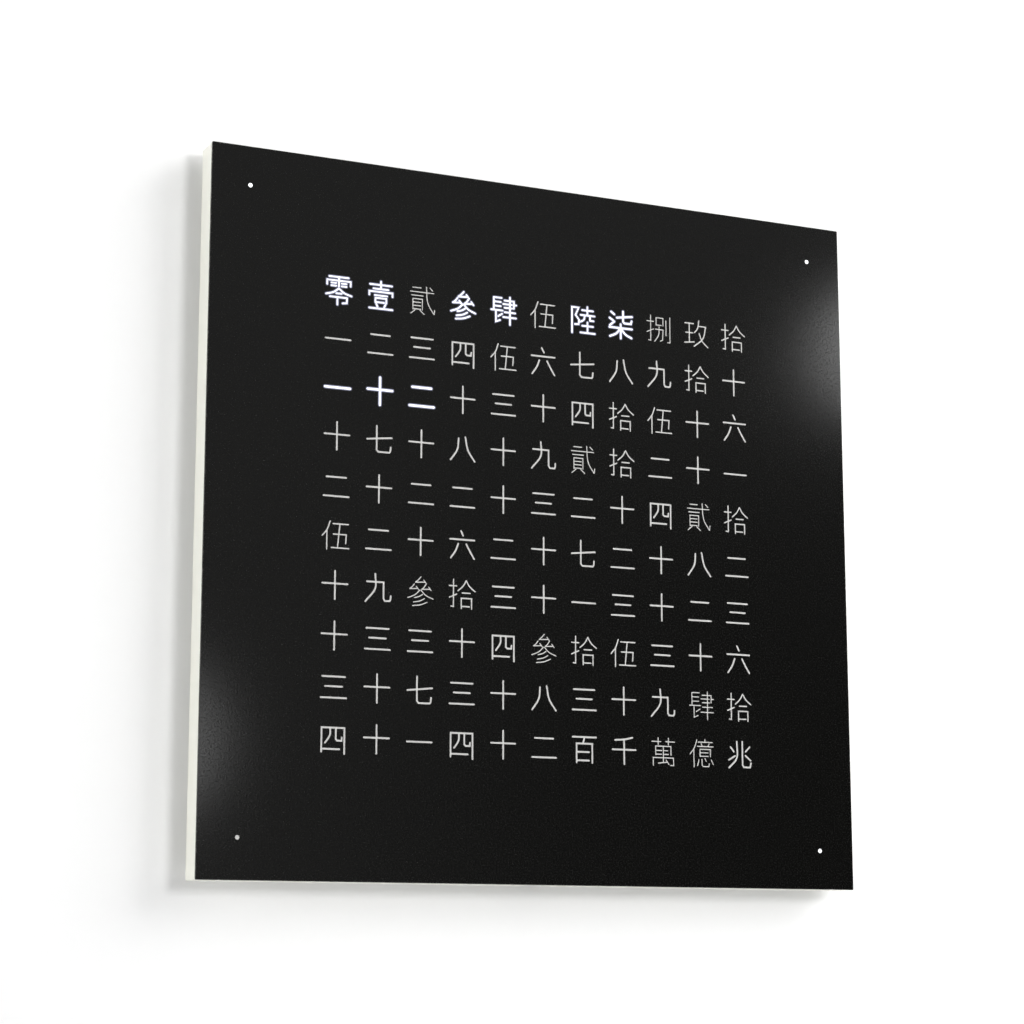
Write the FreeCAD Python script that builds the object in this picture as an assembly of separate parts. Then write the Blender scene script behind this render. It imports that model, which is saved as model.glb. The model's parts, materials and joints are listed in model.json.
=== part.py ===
"""Wall clock that tells the time with lit characters on a square black face.

A milled, lacquered casing hangs on two keyhole plates. A printed circuit board with one light source
per character lies in the casing's front pocket, under a grid of tapered light wells. A thin steel
cover carries the opal diffuser and is held by eight magnets, so it pulls straight off. Four light
wells in the corners count single minutes. The electronics, the power socket and the three setting
buttons sit in a bay that is milled into the back, behind the bottom rim.

Millimetres. X to the right as the face is seen, Y into the wall, Z up. The origin is the centre of
the back face, which lies against the wall at Y = 0, so everything in front of it has a negative Y.
"""

import FreeCAD
import Part

import math
import os

Vec = FreeCAD.Vector
ALONG_Y = Vec(0, 1, 0)
ALONG_Z = Vec(0, 0, 1)

# How far a cutter runs past the surface that it opens, and what counts as no distance
past = 1.0
tiny = 1e-6

# Number of flat sides that keep small round pieces and their holes light
screw_sides = 8
disc_sides = 12
round_sides = 24

# Character field and the light grid behind it
field_side = 310.0
column_count = 11
row_count = 10
grid_border = 9.0
cell_wall = 3.0
light_window = 12.0

# Casing
pocket_clearance = 1.0
pocket_corner_radius = 5.0
rim_width = 60.0
clock_depth = 20.0
casing_edge = 0.6
back_wall = 3.5

# Steel cover and what is bonded to its back
plate_thickness = 1.5
plate_edge = 0.4
diffuser_thickness = 1.0
diffuser_gap = 0.3
diffuser_margin = 4.0

# Magnetic hold of the cover
stud_diameter = 14.0
stud_height = 2.0
stud_side_clearance = 0.5
stud_end_clearance = 0.3
stud_inset = 29.0
stud_spread = 120.0
magnet_diameter = 12.0
magnet_thickness = 4.0

# Light source board
board_spacing = 1.5
board_thickness = 1.6
board_inset = 1.0
sheet_corner_cut = 4.0
light_side = 5.0
light_height = 1.5

# Minute wells in the corners
minute_inset = 25.0
minute_dot_diameter = 2.8
minute_flange_diameter = 8.0
minute_bore_diameter = 12.0
minute_board_clearance = 0.3
minute_light_side = 3.5
minute_light_height = 1.4
lead_width = 3.0
lead_thickness = 0.8
lead_overlap = 3.0
lead_end_gap = 1.5
lead_groove_clearance = 0.5

# Screws that hold the light grid and its board
grid_screw_diameter = 3.0
grid_screw_head_diameter = 5.5
grid_screw_head_height = 2.0
grid_screw_spread = 124.0
screw_point_wall = 0.8
spacer_wall = 1.3
hole_clearance = 0.2
snug_gap = 0.03

# Keyhole hangers
keyhole_spread = 150.0
keyhole_plate_width = 20.0
keyhole_plate_thickness = 1.5
keyhole_plate_radius = 4.0
keyhole_entry_diameter = 9.0
keyhole_slot_width = 4.5
keyhole_travel = 9.0
keyhole_drop = 4.0
keyhole_head_clearance = 2.0
keyhole_pocket_depth = 6.5
keyhole_screw_spread = 17.0
keyhole_screw_edge = 5.0
keyhole_screw_diameter = 2.8
keyhole_screw_head_diameter = 5.0
keyhole_screw_length = 11.0
drill_run_out = 1.0
recess_clearance = 0.2

# Electronics bay and the lid over it
bay_half_width = 64.0
bay_floor_wall = 13.0
bay_roof_wall = 7.0
bay_corner_radius = 3.0
lid_thickness = 1.5
lid_side_ledge = 8.0
lid_bottom_ledge = 6.0
lid_top_ledge = 4.0
lid_corner_radius = 4.0
lid_clearance = 0.3
lid_screw_inset = 8.0
lid_screw_diameter = 2.5
lid_screw_head_diameter = 4.6
lid_screw_length = 9.0
plug_bay_width = 14.0
notch_corner_radius = 1.0

# Control board and its components
control_margin = 4.0
control_spacing = 1.2
control_thickness = 1.6
control_screw_inset = 4.0
control_screw_diameter = 2.5
control_screw_head_diameter = 4.6
control_screw_head_height = 1.6
control_screw_point_wall = 1.5
notch_side_clearance = 1.0
socket_bore_diameter = 6.0
socket_bore_depth = 10.0
socket_side_wall = 1.5
socket_back_wall = 0.6
socket_length = 13.0
socket_top_margin = 3.0
socket_overhang = 1.0
socket_lid_gap = 0.5
socket_edge = 0.4
socket_pin_diameter = 2.0
socket_pin_length = 9.0
cell_diameter = 20.0
cell_thickness = 3.2
cell_edge = 0.4
cell_clearance = 0.15
holder_wall = 1.35
holder_floor = 1.4
holder_corner_cut = 2.0
holder_gap = 0.5
radio_width = 24.0
radio_length = 16.0
radio_base_thickness = 0.8
radio_can_height = 2.0
radio_can_margin = 1.0
radio_can_edge = 0.4
radio_side_margin = 14.0
radio_top_margin = 5.0
chip_side = 7.0
chip_height = 1.0
chip_edge = 0.2
chip_centre_x = -17.0
sensor_side = 3.0
sensor_height = 4.0
sensor_centre_x = -16.0
light_pipe_diameter = 3.0
light_pipe_gap = 0.4

# Ribbon cable between the two boards
ribbon_centre_x = 14.0
ribbon_width = 12.0
ribbon_thickness = 0.3
ribbon_bend_radius = 1.2
connector_side = 1.0
connector_length = 4.0
control_connector_height = 2.0
light_connector_gap = 0.3
light_connector_inset = 4.0
ribbon_slot_clearance = 1.0

# Setting buttons
button_names = ["mode_button", "plus_button", "minus_button"]
button_end_inset = 17.0
button_pitch = 12.5
button_diameter = 6.0
button_side_clearance = 0.15
button_flange_lip = 1.2
button_flange_thickness = 1.0
button_stem_diameter = 3.0
button_stem_entry = 1.2
button_stem_clearance = 0.3
button_edge = 0.5
button_recess = 0.8
dish_rim = 2.0
dish_depth = 1.2
switch_width = 6.0
switch_depth = 5.0
switch_length = 3.5
switch_well_depth = 2.4

# Sides and depths that follow from the sizes above
column_pitch = field_side / column_count
row_pitch = field_side / row_count
grid_side = field_side + 2 * grid_border
pocket_side = grid_side + 2 * pocket_clearance
face_side = pocket_side + 2 * rim_width
half_face = face_side / 2
half_pocket = pocket_side / 2
half_grid = grid_side / 2
half_board = half_grid - board_inset
casing_depth = clock_depth - plate_thickness
seam_y = -casing_depth
pocket_floor_y = -back_wall
board_back_y = pocket_floor_y - board_spacing
board_front_y = board_back_y - board_thickness
grid_front_y = seam_y + diffuser_thickness + diffuser_gap
grid_seat_y = grid_front_y + grid_screw_head_height + hole_clearance
stud_floor_y = seam_y + stud_height + stud_end_clearance
minute_offset = half_face - minute_inset
lead_end_reach = math.sqrt(2) * (half_board - sheet_corner_cut / 2) - lead_overlap
keyhole_plate_height = 2 * (keyhole_screw_spread + keyhole_screw_edge)

# Places in the electronics bay
socket_depth = socket_bore_diameter + 2 * socket_back_wall
socket_half_width = socket_bore_diameter / 2 + socket_side_wall
bay_floor_y = -(lid_thickness + socket_lid_gap + socket_depth + control_thickness + control_spacing)
bay_bottom_z = -half_face + bay_floor_wall
bay_top_z = -half_pocket - bay_roof_wall
control_half_width = bay_half_width - control_margin
control_bottom_z = bay_bottom_z + control_margin
control_top_z = bay_top_z - control_margin
control_middle_z = (control_bottom_z + control_top_z) / 2
control_front_y = bay_floor_y + control_spacing
control_back_y = control_front_y + control_thickness
control_screw_end_y = seam_y + control_screw_point_wall
socket_top_z = control_top_z - socket_top_margin
socket_bottom_z = socket_top_z - socket_length
socket_axis_y = control_back_y + socket_depth / 2
holder_side = cell_diameter + 2 * (cell_clearance + holder_wall)
holder_back_y = control_back_y + holder_floor + cell_thickness
holder_left_x = -control_half_width + 2 * control_screw_inset + holder_gap
holder_centre_x = holder_left_x + holder_side / 2
button_axis_y = control_back_y + switch_depth / 2
control_ribbon_y = control_back_y + control_connector_height / 2
light_connector_height = board_spacing - light_connector_gap
light_connector_z = -half_board + light_connector_inset
lid_half_width = bay_half_width + lid_side_ledge
lid_bottom_z = bay_bottom_z - lid_bottom_ledge
lid_top_z = bay_top_z + lid_top_ledge


def block(x0, x1, y0, y1, z0, z1):
    """Box between two opposite corners."""
    return Part.makeBox(x1 - x0, y1 - y0, z1 - z0, Vec(x0, y0, z0))


def rod_y(x, z, diameter, y0, y1):
    """Round bar along Y from y0 to y1."""
    return Part.makeCylinder(diameter / 2, y1 - y0, Vec(x, y0, z), ALONG_Y)


def turned(side, sides, place):
    """Turned piece with flat sides, from the (radius, distance) points of its side.

    The function place gives the point for two distances from the axis and one along it.
    """
    turns = [2 * math.pi * (k + 0.5) / sides for k in range(sides)]
    rings = []
    for radius, along in side:
        ring = [place(radius * math.cos(turn), radius * math.sin(turn), along) for turn in turns]
        rings.append(ring + ring[:1])
    outlines = [rings[0], rings[-1]]
    for near, far in zip(rings, rings[1:]):
        for k in range(sides):
            outlines.append([near[k], near[k + 1], far[k + 1], far[k], near[k]])
    faces = [Part.Face(Part.makePolygon(points)) for points in outlines]
    shell = Part.makeShell(faces)
    shell.sewShape()
    return Part.makeSolid(shell).removeSplitter()


def turned_y(x, z, side, sides):
    """Turned piece on an axis along Y at (x, z), from the (radius, y) points of its side."""
    return turned(side, sides, lambda a, b, y: Vec(x + a, y, z + b))


def turned_z(x, y, side, sides):
    """Turned piece on an axis along Z at (x, y), from the (radius, z) points of its side."""
    return turned(side, sides, lambda a, b, z: Vec(x + a, y + b, z))


def bar_y(x, z, diameter, y0, y1, sides):
    """Straight bar along Y with flat sides."""
    return turned_y(x, z, [(diameter / 2, y0), (diameter / 2, y1)], sides)


def bar_z(x, y, diameter, z0, z1, sides):
    """Straight bar along Z with flat sides."""
    return turned_z(x, y, [(diameter / 2, z0), (diameter / 2, z1)], sides)


def ring_y(x, z, outer, inner, y0, y1):
    """Spacer ring along Y."""
    body = bar_y(x, z, outer, y0, y1, screw_sides)
    return body.cut(bar_y(x, z, inner, y0 - past, y1 + past, screw_sides))


def slot_y(x, low, high, diameter, y0, y1):
    """Upright slot with round ends that are centred on the heights low and high."""
    middle = block(x - diameter / 2, x + diameter / 2, y0, y1, low, high)
    ends = [rod_y(x, z, diameter, y0, y1) for z in (low, high)]
    return middle.multiFuse(ends).removeSplitter()


def edges_along(shape, direction):
    """The straight edges of a shape that run along one direction."""
    found = []
    for edge in shape.Edges:
        run = edge.Vertexes[-1].Point - edge.Vertexes[0].Point
        if run.Length > 0 and run.cross(direction).Length < tiny * run.Length:
            found.append(edge)
    return found


def edges_at_y(shape, y):
    """The edges of a shape that lie at one depth."""
    return [edge for edge in shape.Edges if abs(edge.CenterOfMass.y - y) < tiny]


def slab(x0, x1, y0, y1, z0, z1, corner):
    """Plate square to Y whose four corners are rounded."""
    plain = block(x0, x1, y0, y1, z0, z1)
    return plain.makeFillet(corner, edges_along(plain, ALONG_Y))


def square_sheet(half, y0, y1, cut):
    """Centred square sheet whose four corners are cut off."""
    plain = block(-half, half, y0, y1, -half, half)
    return plain.makeChamfer(cut, edges_along(plain, ALONG_Y))


def cut_all(shape, tools):
    """A shape less every tool."""
    return shape.cut(Part.makeCompound(tools)).removeSplitter()


def copies_at(shape, places):
    """Copies of a shape, moved from the middle of the face to each (x, z)."""
    copies = []
    for x, z in places:
        copy = shape.copy()
        copy.translate(Vec(x, 0, z))
        copies.append(copy)
    return copies


def toward_corners(strip):
    """Copies of a strip along X that point from the middle of the face to each minute dot."""
    strips = []
    for x, z in minute_centres():
        copy = strip.copy()
        copy.rotate(Vec(0, 0, 0), ALONG_Y, -math.degrees(math.atan2(z, x)))
        strips.append(copy)
    return strips


def cell_centres():
    """Centre of every character cell, row by row from the top left."""
    places = []
    for row in range(row_count):
        for column in range(column_count):
            x = (column - (column_count - 1) / 2) * column_pitch
            z = ((row_count - 1) / 2 - row) * row_pitch
            places.append((x, z))
    return places


def minute_centres():
    """Centre of the four minute dots."""
    return [(sx * minute_offset, sz * minute_offset) for sx in (-1, 1) for sz in (-1, 1)]


def stud_centres():
    """Centre of the eight magnetic holds, two in each side of the rim."""
    out = half_face - stud_inset
    sides = [(sx * out, sz * stud_spread) for sx in (-1, 1) for sz in (-1, 1)]
    ends = [(sx * stud_spread, sz * out) for sx in (-1, 1) for sz in (-1, 1)]
    return sides + ends


def grid_screw_centres():
    """Centre of the six screws in the border of the light grid."""
    out = half_grid - grid_border / 2
    sides = [(sx * out, sz * grid_screw_spread) for sx in (-1, 1) for sz in (-1, 1)]
    return sides + [(0, -out), (0, out)]


def keyhole_centres():
    """Centre of the two keyhole plates, in the middle of the top rim."""
    z = half_face - rim_width / 2
    return [(-keyhole_spread, z), (keyhole_spread, z)]


def keyhole_screw_centres():
    """Centre of the four wood screws of the keyhole plates."""
    return [(x, z + s * keyhole_screw_spread) for x, z in keyhole_centres() for s in (-1, 1)]


def keyhole_heights(z):
    """Heights of the round entry and of the slot's upper end."""
    entry = z - keyhole_drop
    return entry, entry + keyhole_travel


def lid_screw_centres():
    """Centre of the four screws of the electronics lid, in its side ledges."""
    x = bay_half_width + lid_side_ledge / 2
    heights = (lid_bottom_z + lid_screw_inset, lid_top_z - lid_screw_inset)
    return [(s * x, z) for s in (-1, 1) for z in heights]


def control_screw_centres():
    """Centre of the four screws of the control board."""
    x = control_half_width - control_screw_inset
    heights = (control_bottom_z + control_screw_inset, control_top_z - control_screw_inset)
    return [(s * x, z) for s in (-1, 1) for z in heights]


def button_centres():
    """Distance from the middle of each setting button, the last one near the board's right end."""
    last = control_half_width - button_end_inset
    return [last - k * button_pitch for k in reversed(range(len(button_names)))]


def snug(diameter):
    """Diameter of the hole for a piece that is bonded, pressed or screwed into it."""
    return diameter + 2 * snug_gap


def free(diameter):
    """Diameter of the hole that a screw or its head passes freely."""
    return diameter + 2 * hole_clearance


def screw_hole(x, z, diameter, y0, y1):
    """Hole that a screw bites into."""
    return bar_y(x, z, snug(diameter), y0, y1, screw_sides)


def passing_holes(places, diameter, y0, y1):
    """Holes right through a piece between two depths, for screws that pass freely."""
    return [bar_y(x, z, free(diameter), y0 - past, y1 + past, screw_sides) for x, z in places]


def countersunk_screw(x, z, diameter, head, length):
    """Flat-headed screw whose head is flush with the back face."""
    cone = (head - diameter) / 2
    return turned_y(x, z, [(head / 2, 0), (diameter / 2, -cone), (diameter / 2, -length)], screw_sides)


def countersunk_hole(x, z, diameter, head, thickness):
    """Clearance hole and countersink for a flat-headed screw in a plate at the back face."""
    cone = (head - diameter) / 2
    wide = free(head) / 2
    narrow = free(diameter) / 2
    side = [(wide, past), (wide, 0), (narrow, -cone), (narrow, -thickness - past)]
    return turned_y(x, z, side, screw_sides)


def minute_well_cuts():
    """Corner wells and the diagonal grooves that lead from them into the pocket."""
    wells = [
        bar_y(x, z, minute_bore_diameter, seam_y - past, board_back_y, disc_sides)
        for x, z in minute_centres()
    ]
    half = lead_width / 2 + lead_groove_clearance
    far = math.hypot(minute_offset, minute_offset)
    groove = block(lead_end_reach, far, seam_y - past, board_front_y, -half, half)
    return wells + toward_corners(groove)


def stud_seat_cuts():
    """Seats for the cover's discs, each with a hole for its magnet in the floor."""
    cuts = []
    for x, z in stud_centres():
        seat = stud_diameter + 2 * stud_side_clearance
        hole = snug(magnet_diameter)
        cuts.append(bar_y(x, z, seat, seam_y - past, stud_floor_y, disc_sides))
        cuts.append(bar_y(x, z, hole, stud_floor_y - past, stud_floor_y + magnet_thickness, disc_sides))
    return cuts


def hanger_cuts():
    """Recess, head pocket and screw holes of the two keyhole plates."""
    cuts = []
    half_width = keyhole_plate_width / 2 + recess_clearance
    half_height = keyhole_plate_height / 2 + recess_clearance
    pocket_front = -keyhole_plate_thickness - keyhole_pocket_depth
    pocket_width = keyhole_entry_diameter + 2 * keyhole_head_clearance
    for x, z in keyhole_centres():
        low, high = keyhole_heights(z)
        recess = slab(
            x - half_width, x + half_width, -keyhole_plate_thickness, past,
            z - half_height, z + half_height, keyhole_plate_radius + recess_clearance,
        )
        cuts += [recess, slot_y(x, low, high, pocket_width, pocket_front, past)]
    for x, z in keyhole_screw_centres():
        cuts.append(screw_hole(x, z, keyhole_screw_diameter, -keyhole_screw_length - drill_run_out, past))
    return cuts


def bay_cuts():
    """Electronics bay, lid rebate, plug channel, ribbon slot and the screw holes around them."""
    half_plug = plug_bay_width / 2
    bay, lid = bay_half_width, lid_half_width
    cuts = [
        slab(-bay, bay, bay_floor_y, past, bay_bottom_z, bay_top_z, bay_corner_radius),
        slab(-lid, lid, -lid_thickness, past, lid_bottom_z, lid_top_z, lid_corner_radius),
        block(-half_plug, half_plug, bay_floor_y, past, -half_face - past, bay_bottom_z + past),
    ]
    slot = ribbon_width / 2 + ribbon_slot_clearance
    slot_front = control_ribbon_y - ribbon_thickness / 2 - ribbon_slot_clearance
    left, right = ribbon_centre_x - slot, ribbon_centre_x + slot
    cuts.append(block(left, right, slot_front, pocket_floor_y, bay_top_z - past, -half_pocket + past))
    for x, z in control_screw_centres():
        cuts.append(screw_hole(x, z, control_screw_diameter, control_screw_end_y, bay_floor_y + past))
    for x, z in lid_screw_centres():
        cuts.append(screw_hole(x, z, lid_screw_diameter, -lid_screw_length - drill_run_out, past))
    return cuts


def bottom_cuts():
    """Holes from the bottom face into the bay: three dished button bores and the light pipe's hole."""
    bottom, top = -half_face - past, bay_bottom_z + past
    bore = button_diameter / 2 + button_side_clearance
    dish = bore + dish_rim
    side = [(dish, bottom), (dish, -half_face), (bore, -half_face + dish_depth), (bore, top)]
    cuts = [turned_z(x, button_axis_y, side, round_sides) for x in button_centres()]
    cuts.append(light_pipe_rod(snug(light_pipe_diameter), bottom, top))
    return cuts


def make_casing():
    """Milled casing with softened outer edges."""
    blank = block(-half_face, half_face, seam_y, 0, -half_face, half_face)
    blank = blank.makeChamfer(casing_edge, blank.Edges)
    half = half_pocket
    pocket = slab(-half, half, seam_y - past, pocket_floor_y, -half, half, pocket_corner_radius)
    screw_holes = [
        screw_hole(x, z, grid_screw_diameter, pocket_floor_y - past, -screw_point_wall)
        for x, z in grid_screw_centres()
    ]
    tools = [pocket] + screw_holes + minute_well_cuts() + stud_seat_cuts()
    return cut_all(blank, tools + hanger_cuts() + bay_cuts() + bottom_cuts())


def make_face_plate():
    """Steel cover with a hole for each minute dot."""
    plate = square_sheet(half_face, -clock_depth, seam_y, plate_edge)
    front, back = -clock_depth - past, seam_y + past
    hole = snug(minute_dot_diameter)
    return cut_all(plate, [bar_y(x, z, hole, front, back, disc_sides) for x, z in minute_centres()])


def make_diffuser_sheet():
    """Opal sheet bonded behind the character field."""
    half = field_side / 2 + diffuser_margin
    return square_sheet(half, seam_y, seam_y + diffuser_thickness, sheet_corner_cut)


def make_dot_plugs():
    """Opal plugs that fill the minute holes, each with a flange behind the plate."""
    stem = minute_dot_diameter / 2
    flange = minute_flange_diameter / 2
    back = seam_y + diffuser_thickness
    side = [(stem, -clock_depth), (stem, seam_y), (flange, seam_y), (flange, back)]
    return [turned_y(x, z, side, disc_sides) for x, z in minute_centres()]


def make_cover_studs():
    """Steel discs bonded to the cover, which seat in the rim and meet the magnets."""
    back = seam_y + stud_height
    return [bar_y(x, z, stud_diameter, seam_y, back, disc_sides) for x, z in stud_centres()]


def make_cover_magnets():
    """Disc magnets glued into the floor of each stud seat."""
    back = stud_floor_y + magnet_thickness
    return [bar_y(x, z, magnet_diameter, stud_floor_y, back, disc_sides) for x, z in stud_centres()]


def make_light_board():
    """Circuit board that carries one light source per character."""
    board = square_sheet(half_board, board_front_y, board_back_y, sheet_corner_cut)
    holes = passing_holes(grid_screw_centres(), grid_screw_diameter, board_front_y, board_back_y)
    return cut_all(board, holes)


def make_light(side, height):
    """Square light source on the front of its board."""
    half = side / 2
    return block(-half, half, board_front_y - height, board_front_y, -half, half)


def make_light_grid():
    """Grid of tapered light wells, narrow at the light source and wide behind the diffuser."""
    body = block(-half_grid, half_grid, grid_front_y, board_front_y, -half_grid, half_grid)
    corner_cut = 2 * half_grid - math.sqrt(2) * (lead_end_reach - lead_end_gap)
    body = body.makeChamfer(corner_cut, edges_along(body, ALONG_Y))
    mouth_x = (column_pitch - cell_wall) / 2
    mouth_z = (row_pitch - cell_wall) / 2
    window = light_window / 2
    well = Part.makeWedge(
        -mouth_x, grid_front_y, -mouth_z, -window, -window,
        mouth_x, board_front_y, mouth_z, window, window,
    )
    tools = copies_at(well, cell_centres())
    tools += passing_holes(grid_screw_centres(), grid_screw_diameter, grid_seat_y, board_front_y)
    head = free(grid_screw_head_diameter)
    for x, z in grid_screw_centres():
        tools.append(bar_y(x, z, head, grid_front_y - past, grid_seat_y, screw_sides))
    return cut_all(body, tools)


def make_grid_screws():
    """Pan-headed screws through grid, board and spacer into the casing."""
    head = grid_screw_head_diameter / 2
    shank = grid_screw_diameter / 2
    front = grid_seat_y - grid_screw_head_height
    side = [(head, front), (head, grid_seat_y), (shank, grid_seat_y), (shank, -screw_point_wall)]
    return [turned_y(x, z, side, screw_sides) for x, z in grid_screw_centres()]


def make_board_spacers():
    """Rings that hold the light source board off the casing."""
    inner = free(grid_screw_diameter)
    outer = inner + 2 * spacer_wall
    return [ring_y(x, z, outer, inner, board_back_y, pocket_floor_y) for x, z in grid_screw_centres()]


def make_minute_boards():
    """Round boards on the floor of the corner wells."""
    diameter = minute_bore_diameter - 2 * minute_board_clearance
    return [bar_y(x, z, diameter, board_front_y, board_back_y, disc_sides) for x, z in minute_centres()]


def make_minute_leads():
    """Flat leads from the minute boards to the corners of the light source board."""
    half = lead_width / 2
    start = math.hypot(minute_offset, minute_offset) - minute_light_side
    return toward_corners(
        block(lead_end_reach, start, board_front_y - lead_thickness, board_front_y, -half, half)
    )


def make_keyhole_plate(x, z):
    """Steel hanger plate with a keyhole and two countersunk screw holes."""
    half_width = keyhole_plate_width / 2
    half_height = keyhole_plate_height / 2
    plate = slab(
        x - half_width, x + half_width, -keyhole_plate_thickness, 0,
        z - half_height, z + half_height, keyhole_plate_radius,
    )
    front = -keyhole_plate_thickness - past
    low, high = keyhole_heights(z)
    cuts = [
        rod_y(x, low, keyhole_entry_diameter, front, past),
        slot_y(x, low, high, keyhole_slot_width, front, past),
    ]
    for s in (-1, 1):
        cuts.append(
            countersunk_hole(
                x, z + s * keyhole_screw_spread, keyhole_screw_diameter,
                keyhole_screw_head_diameter, keyhole_plate_thickness,
            )
        )
    return cut_all(plate, cuts)


def make_keyhole_screws():
    """Wood screws of the keyhole plates."""
    return [
        countersunk_screw(x, z, keyhole_screw_diameter, keyhole_screw_head_diameter, keyhole_screw_length)
        for x, z in keyhole_screw_centres()
    ]


def make_service_lid():
    """Lid over the electronics, notched so that the plug can go in."""
    half_width = lid_half_width - lid_clearance
    bottom, top = lid_bottom_z + lid_clearance, lid_top_z - lid_clearance
    lid = slab(-half_width, half_width, -lid_thickness, 0, bottom, top, lid_corner_radius - lid_clearance)
    half_plug = plug_bay_width / 2
    notch = slab(
        -half_plug, half_plug, -lid_thickness - past, past,
        bottom - notch_corner_radius - past, socket_bottom_z, notch_corner_radius,
    )
    cuts = [notch]
    for x, z in lid_screw_centres():
        cuts.append(countersunk_hole(x, z, lid_screw_diameter, lid_screw_head_diameter, lid_thickness))
    return cut_all(lid, cuts)


def make_lid_screws():
    """Screws of the electronics lid."""
    return [
        countersunk_screw(x, z, lid_screw_diameter, lid_screw_head_diameter, lid_screw_length)
        for x, z in lid_screw_centres()
    ]


def make_control_board():
    """Board with the controller, notched below the power socket to let the plug pass."""
    board = block(
        -control_half_width, control_half_width, control_front_y, control_back_y,
        control_bottom_z, control_top_z,
    )
    front, back = control_front_y - past, control_back_y + past
    half_notch = plug_bay_width / 2 + notch_side_clearance
    notch_top = socket_bottom_z + socket_overhang
    notch = block(-half_notch, half_notch, front, back, control_bottom_z - past, notch_top)
    holes = passing_holes(control_screw_centres(), control_screw_diameter, control_front_y, control_back_y)
    return cut_all(board, [notch] + holes)


def make_control_spacers():
    """Rings between the control board and the bay's floor."""
    inner = free(control_screw_diameter)
    outer = inner + 2 * spacer_wall
    return [ring_y(x, z, outer, inner, bay_floor_y, control_front_y) for x, z in control_screw_centres()]


def make_control_screws():
    """Screws of the control board."""
    head = control_screw_head_diameter / 2
    shank = control_screw_diameter / 2
    back = control_back_y + control_screw_head_height
    side = [(head, back), (head, control_back_y), (shank, control_back_y), (shank, control_screw_end_y)]
    return [turned_y(x, z, side, screw_sides) for x, z in control_screw_centres()]


def make_power_socket():
    """Barrel socket that faces down into the plug channel."""
    half = socket_half_width
    body = block(
        -half, half, control_back_y, control_back_y + socket_depth,
        socket_bottom_z, socket_top_z,
    )
    body = body.makeChamfer(socket_edge, edges_along(body, ALONG_Z))
    mouth, end = socket_bottom_z - past, socket_bottom_z + socket_bore_depth
    return body.cut(bar_z(0, socket_axis_y, socket_bore_diameter, mouth, end, round_sides))


def make_socket_pin():
    """Centre pin of the power socket."""
    top = socket_bottom_z + socket_bore_depth
    return bar_z(0, socket_axis_y, socket_pin_diameter, top - socket_pin_length, top, disc_sides)


def make_coin_cell_holder():
    """Square holder with a round well for the back-up cell."""
    half = holder_side / 2
    body = block(
        holder_centre_x - half, holder_centre_x + half, control_back_y, holder_back_y,
        control_middle_z - half, control_middle_z + half,
    )
    body = body.makeChamfer(holder_corner_cut, edges_along(body, ALONG_Y))
    bore = cell_diameter + 2 * cell_clearance
    front, back = holder_back_y - cell_thickness, holder_back_y + past
    return body.cut(bar_y(holder_centre_x, control_middle_z, bore, front, back, round_sides))


def make_coin_cell():
    """Back-up cell with a bevelled edge."""
    radius = cell_diameter / 2
    front, back = holder_back_y - cell_thickness, holder_back_y
    side = [(radius, front), (radius, back - cell_edge), (radius - cell_edge, back)]
    return turned_y(holder_centre_x, control_middle_z, side, round_sides)


def make_radio_module():
    """Radio module: a small board under a metal can."""
    right = control_half_width - radio_side_margin
    left = right - radio_width
    top_z = control_top_z - radio_top_margin
    low_z = top_z - radio_length
    base_back = control_back_y + radio_base_thickness
    base = block(left, right, control_back_y, base_back, low_z, top_z)
    edge = radio_can_margin
    can = block(
        left + edge, right - edge, base_back, base_back + radio_can_height,
        low_z + edge, top_z - edge,
    )
    can = can.makeChamfer(radio_can_edge, edges_along(can, ALONG_Y))
    return base.fuse(can).removeSplitter()


def make_controller_chip():
    """Controller in a flat square package."""
    half = chip_side / 2
    back = control_back_y + chip_height
    chip = block(
        chip_centre_x - half, chip_centre_x + half, control_back_y, back,
        control_middle_z - half, control_middle_z + half,
    )
    return chip.makeChamfer(chip_edge, edges_at_y(chip, back))


def make_light_sensor():
    """Brightness sensor that looks down the light pipe."""
    half = sensor_side / 2
    return block(
        sensor_centre_x - half, sensor_centre_x + half, control_back_y, control_back_y + sensor_height,
        control_bottom_z, control_bottom_z + sensor_side,
    )


def light_pipe_rod(diameter, z0, z1):
    """Upright bar on the light pipe's axis."""
    return bar_z(sensor_centre_x, button_axis_y, diameter, z0, z1, disc_sides)


def make_light_pipe():
    """Clear rod that brings room light through the bottom rim to the sensor."""
    return light_pipe_rod(light_pipe_diameter, -half_face, control_bottom_z - light_pipe_gap)


def make_setting_switches():
    """Push switches on the lower edge of the control board, each open towards its button."""
    half = switch_width / 2
    well = button_stem_diameter + 2 * button_stem_clearance
    switches = []
    for x in button_centres():
        body = block(
            x - half, x + half, control_back_y, control_back_y + switch_depth,
            control_bottom_z, control_bottom_z + switch_length,
        )
        mouth, end = control_bottom_z - past, control_bottom_z + switch_well_depth
        switches.append(body.cut(bar_z(x, button_axis_y, well, mouth, end, disc_sides)))
    return switches


def make_button(x):
    """Setting button: bevelled end, guided shaft, retaining flange and the stem that enters the switch."""
    shaft = button_diameter / 2
    flange = shaft + button_flange_lip
    stem = button_stem_diameter / 2
    tip_z = -half_face + button_recess
    flange_top = bay_bottom_z + button_flange_thickness
    stem_top = control_bottom_z + button_stem_entry
    side = [
        (shaft - button_edge, tip_z), (shaft, tip_z + button_edge), (shaft, bay_bottom_z),
        (flange, bay_bottom_z), (flange, flange_top), (stem, flange_top), (stem, stem_top),
    ]
    return turned_z(x, button_axis_y, side, round_sides)


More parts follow.
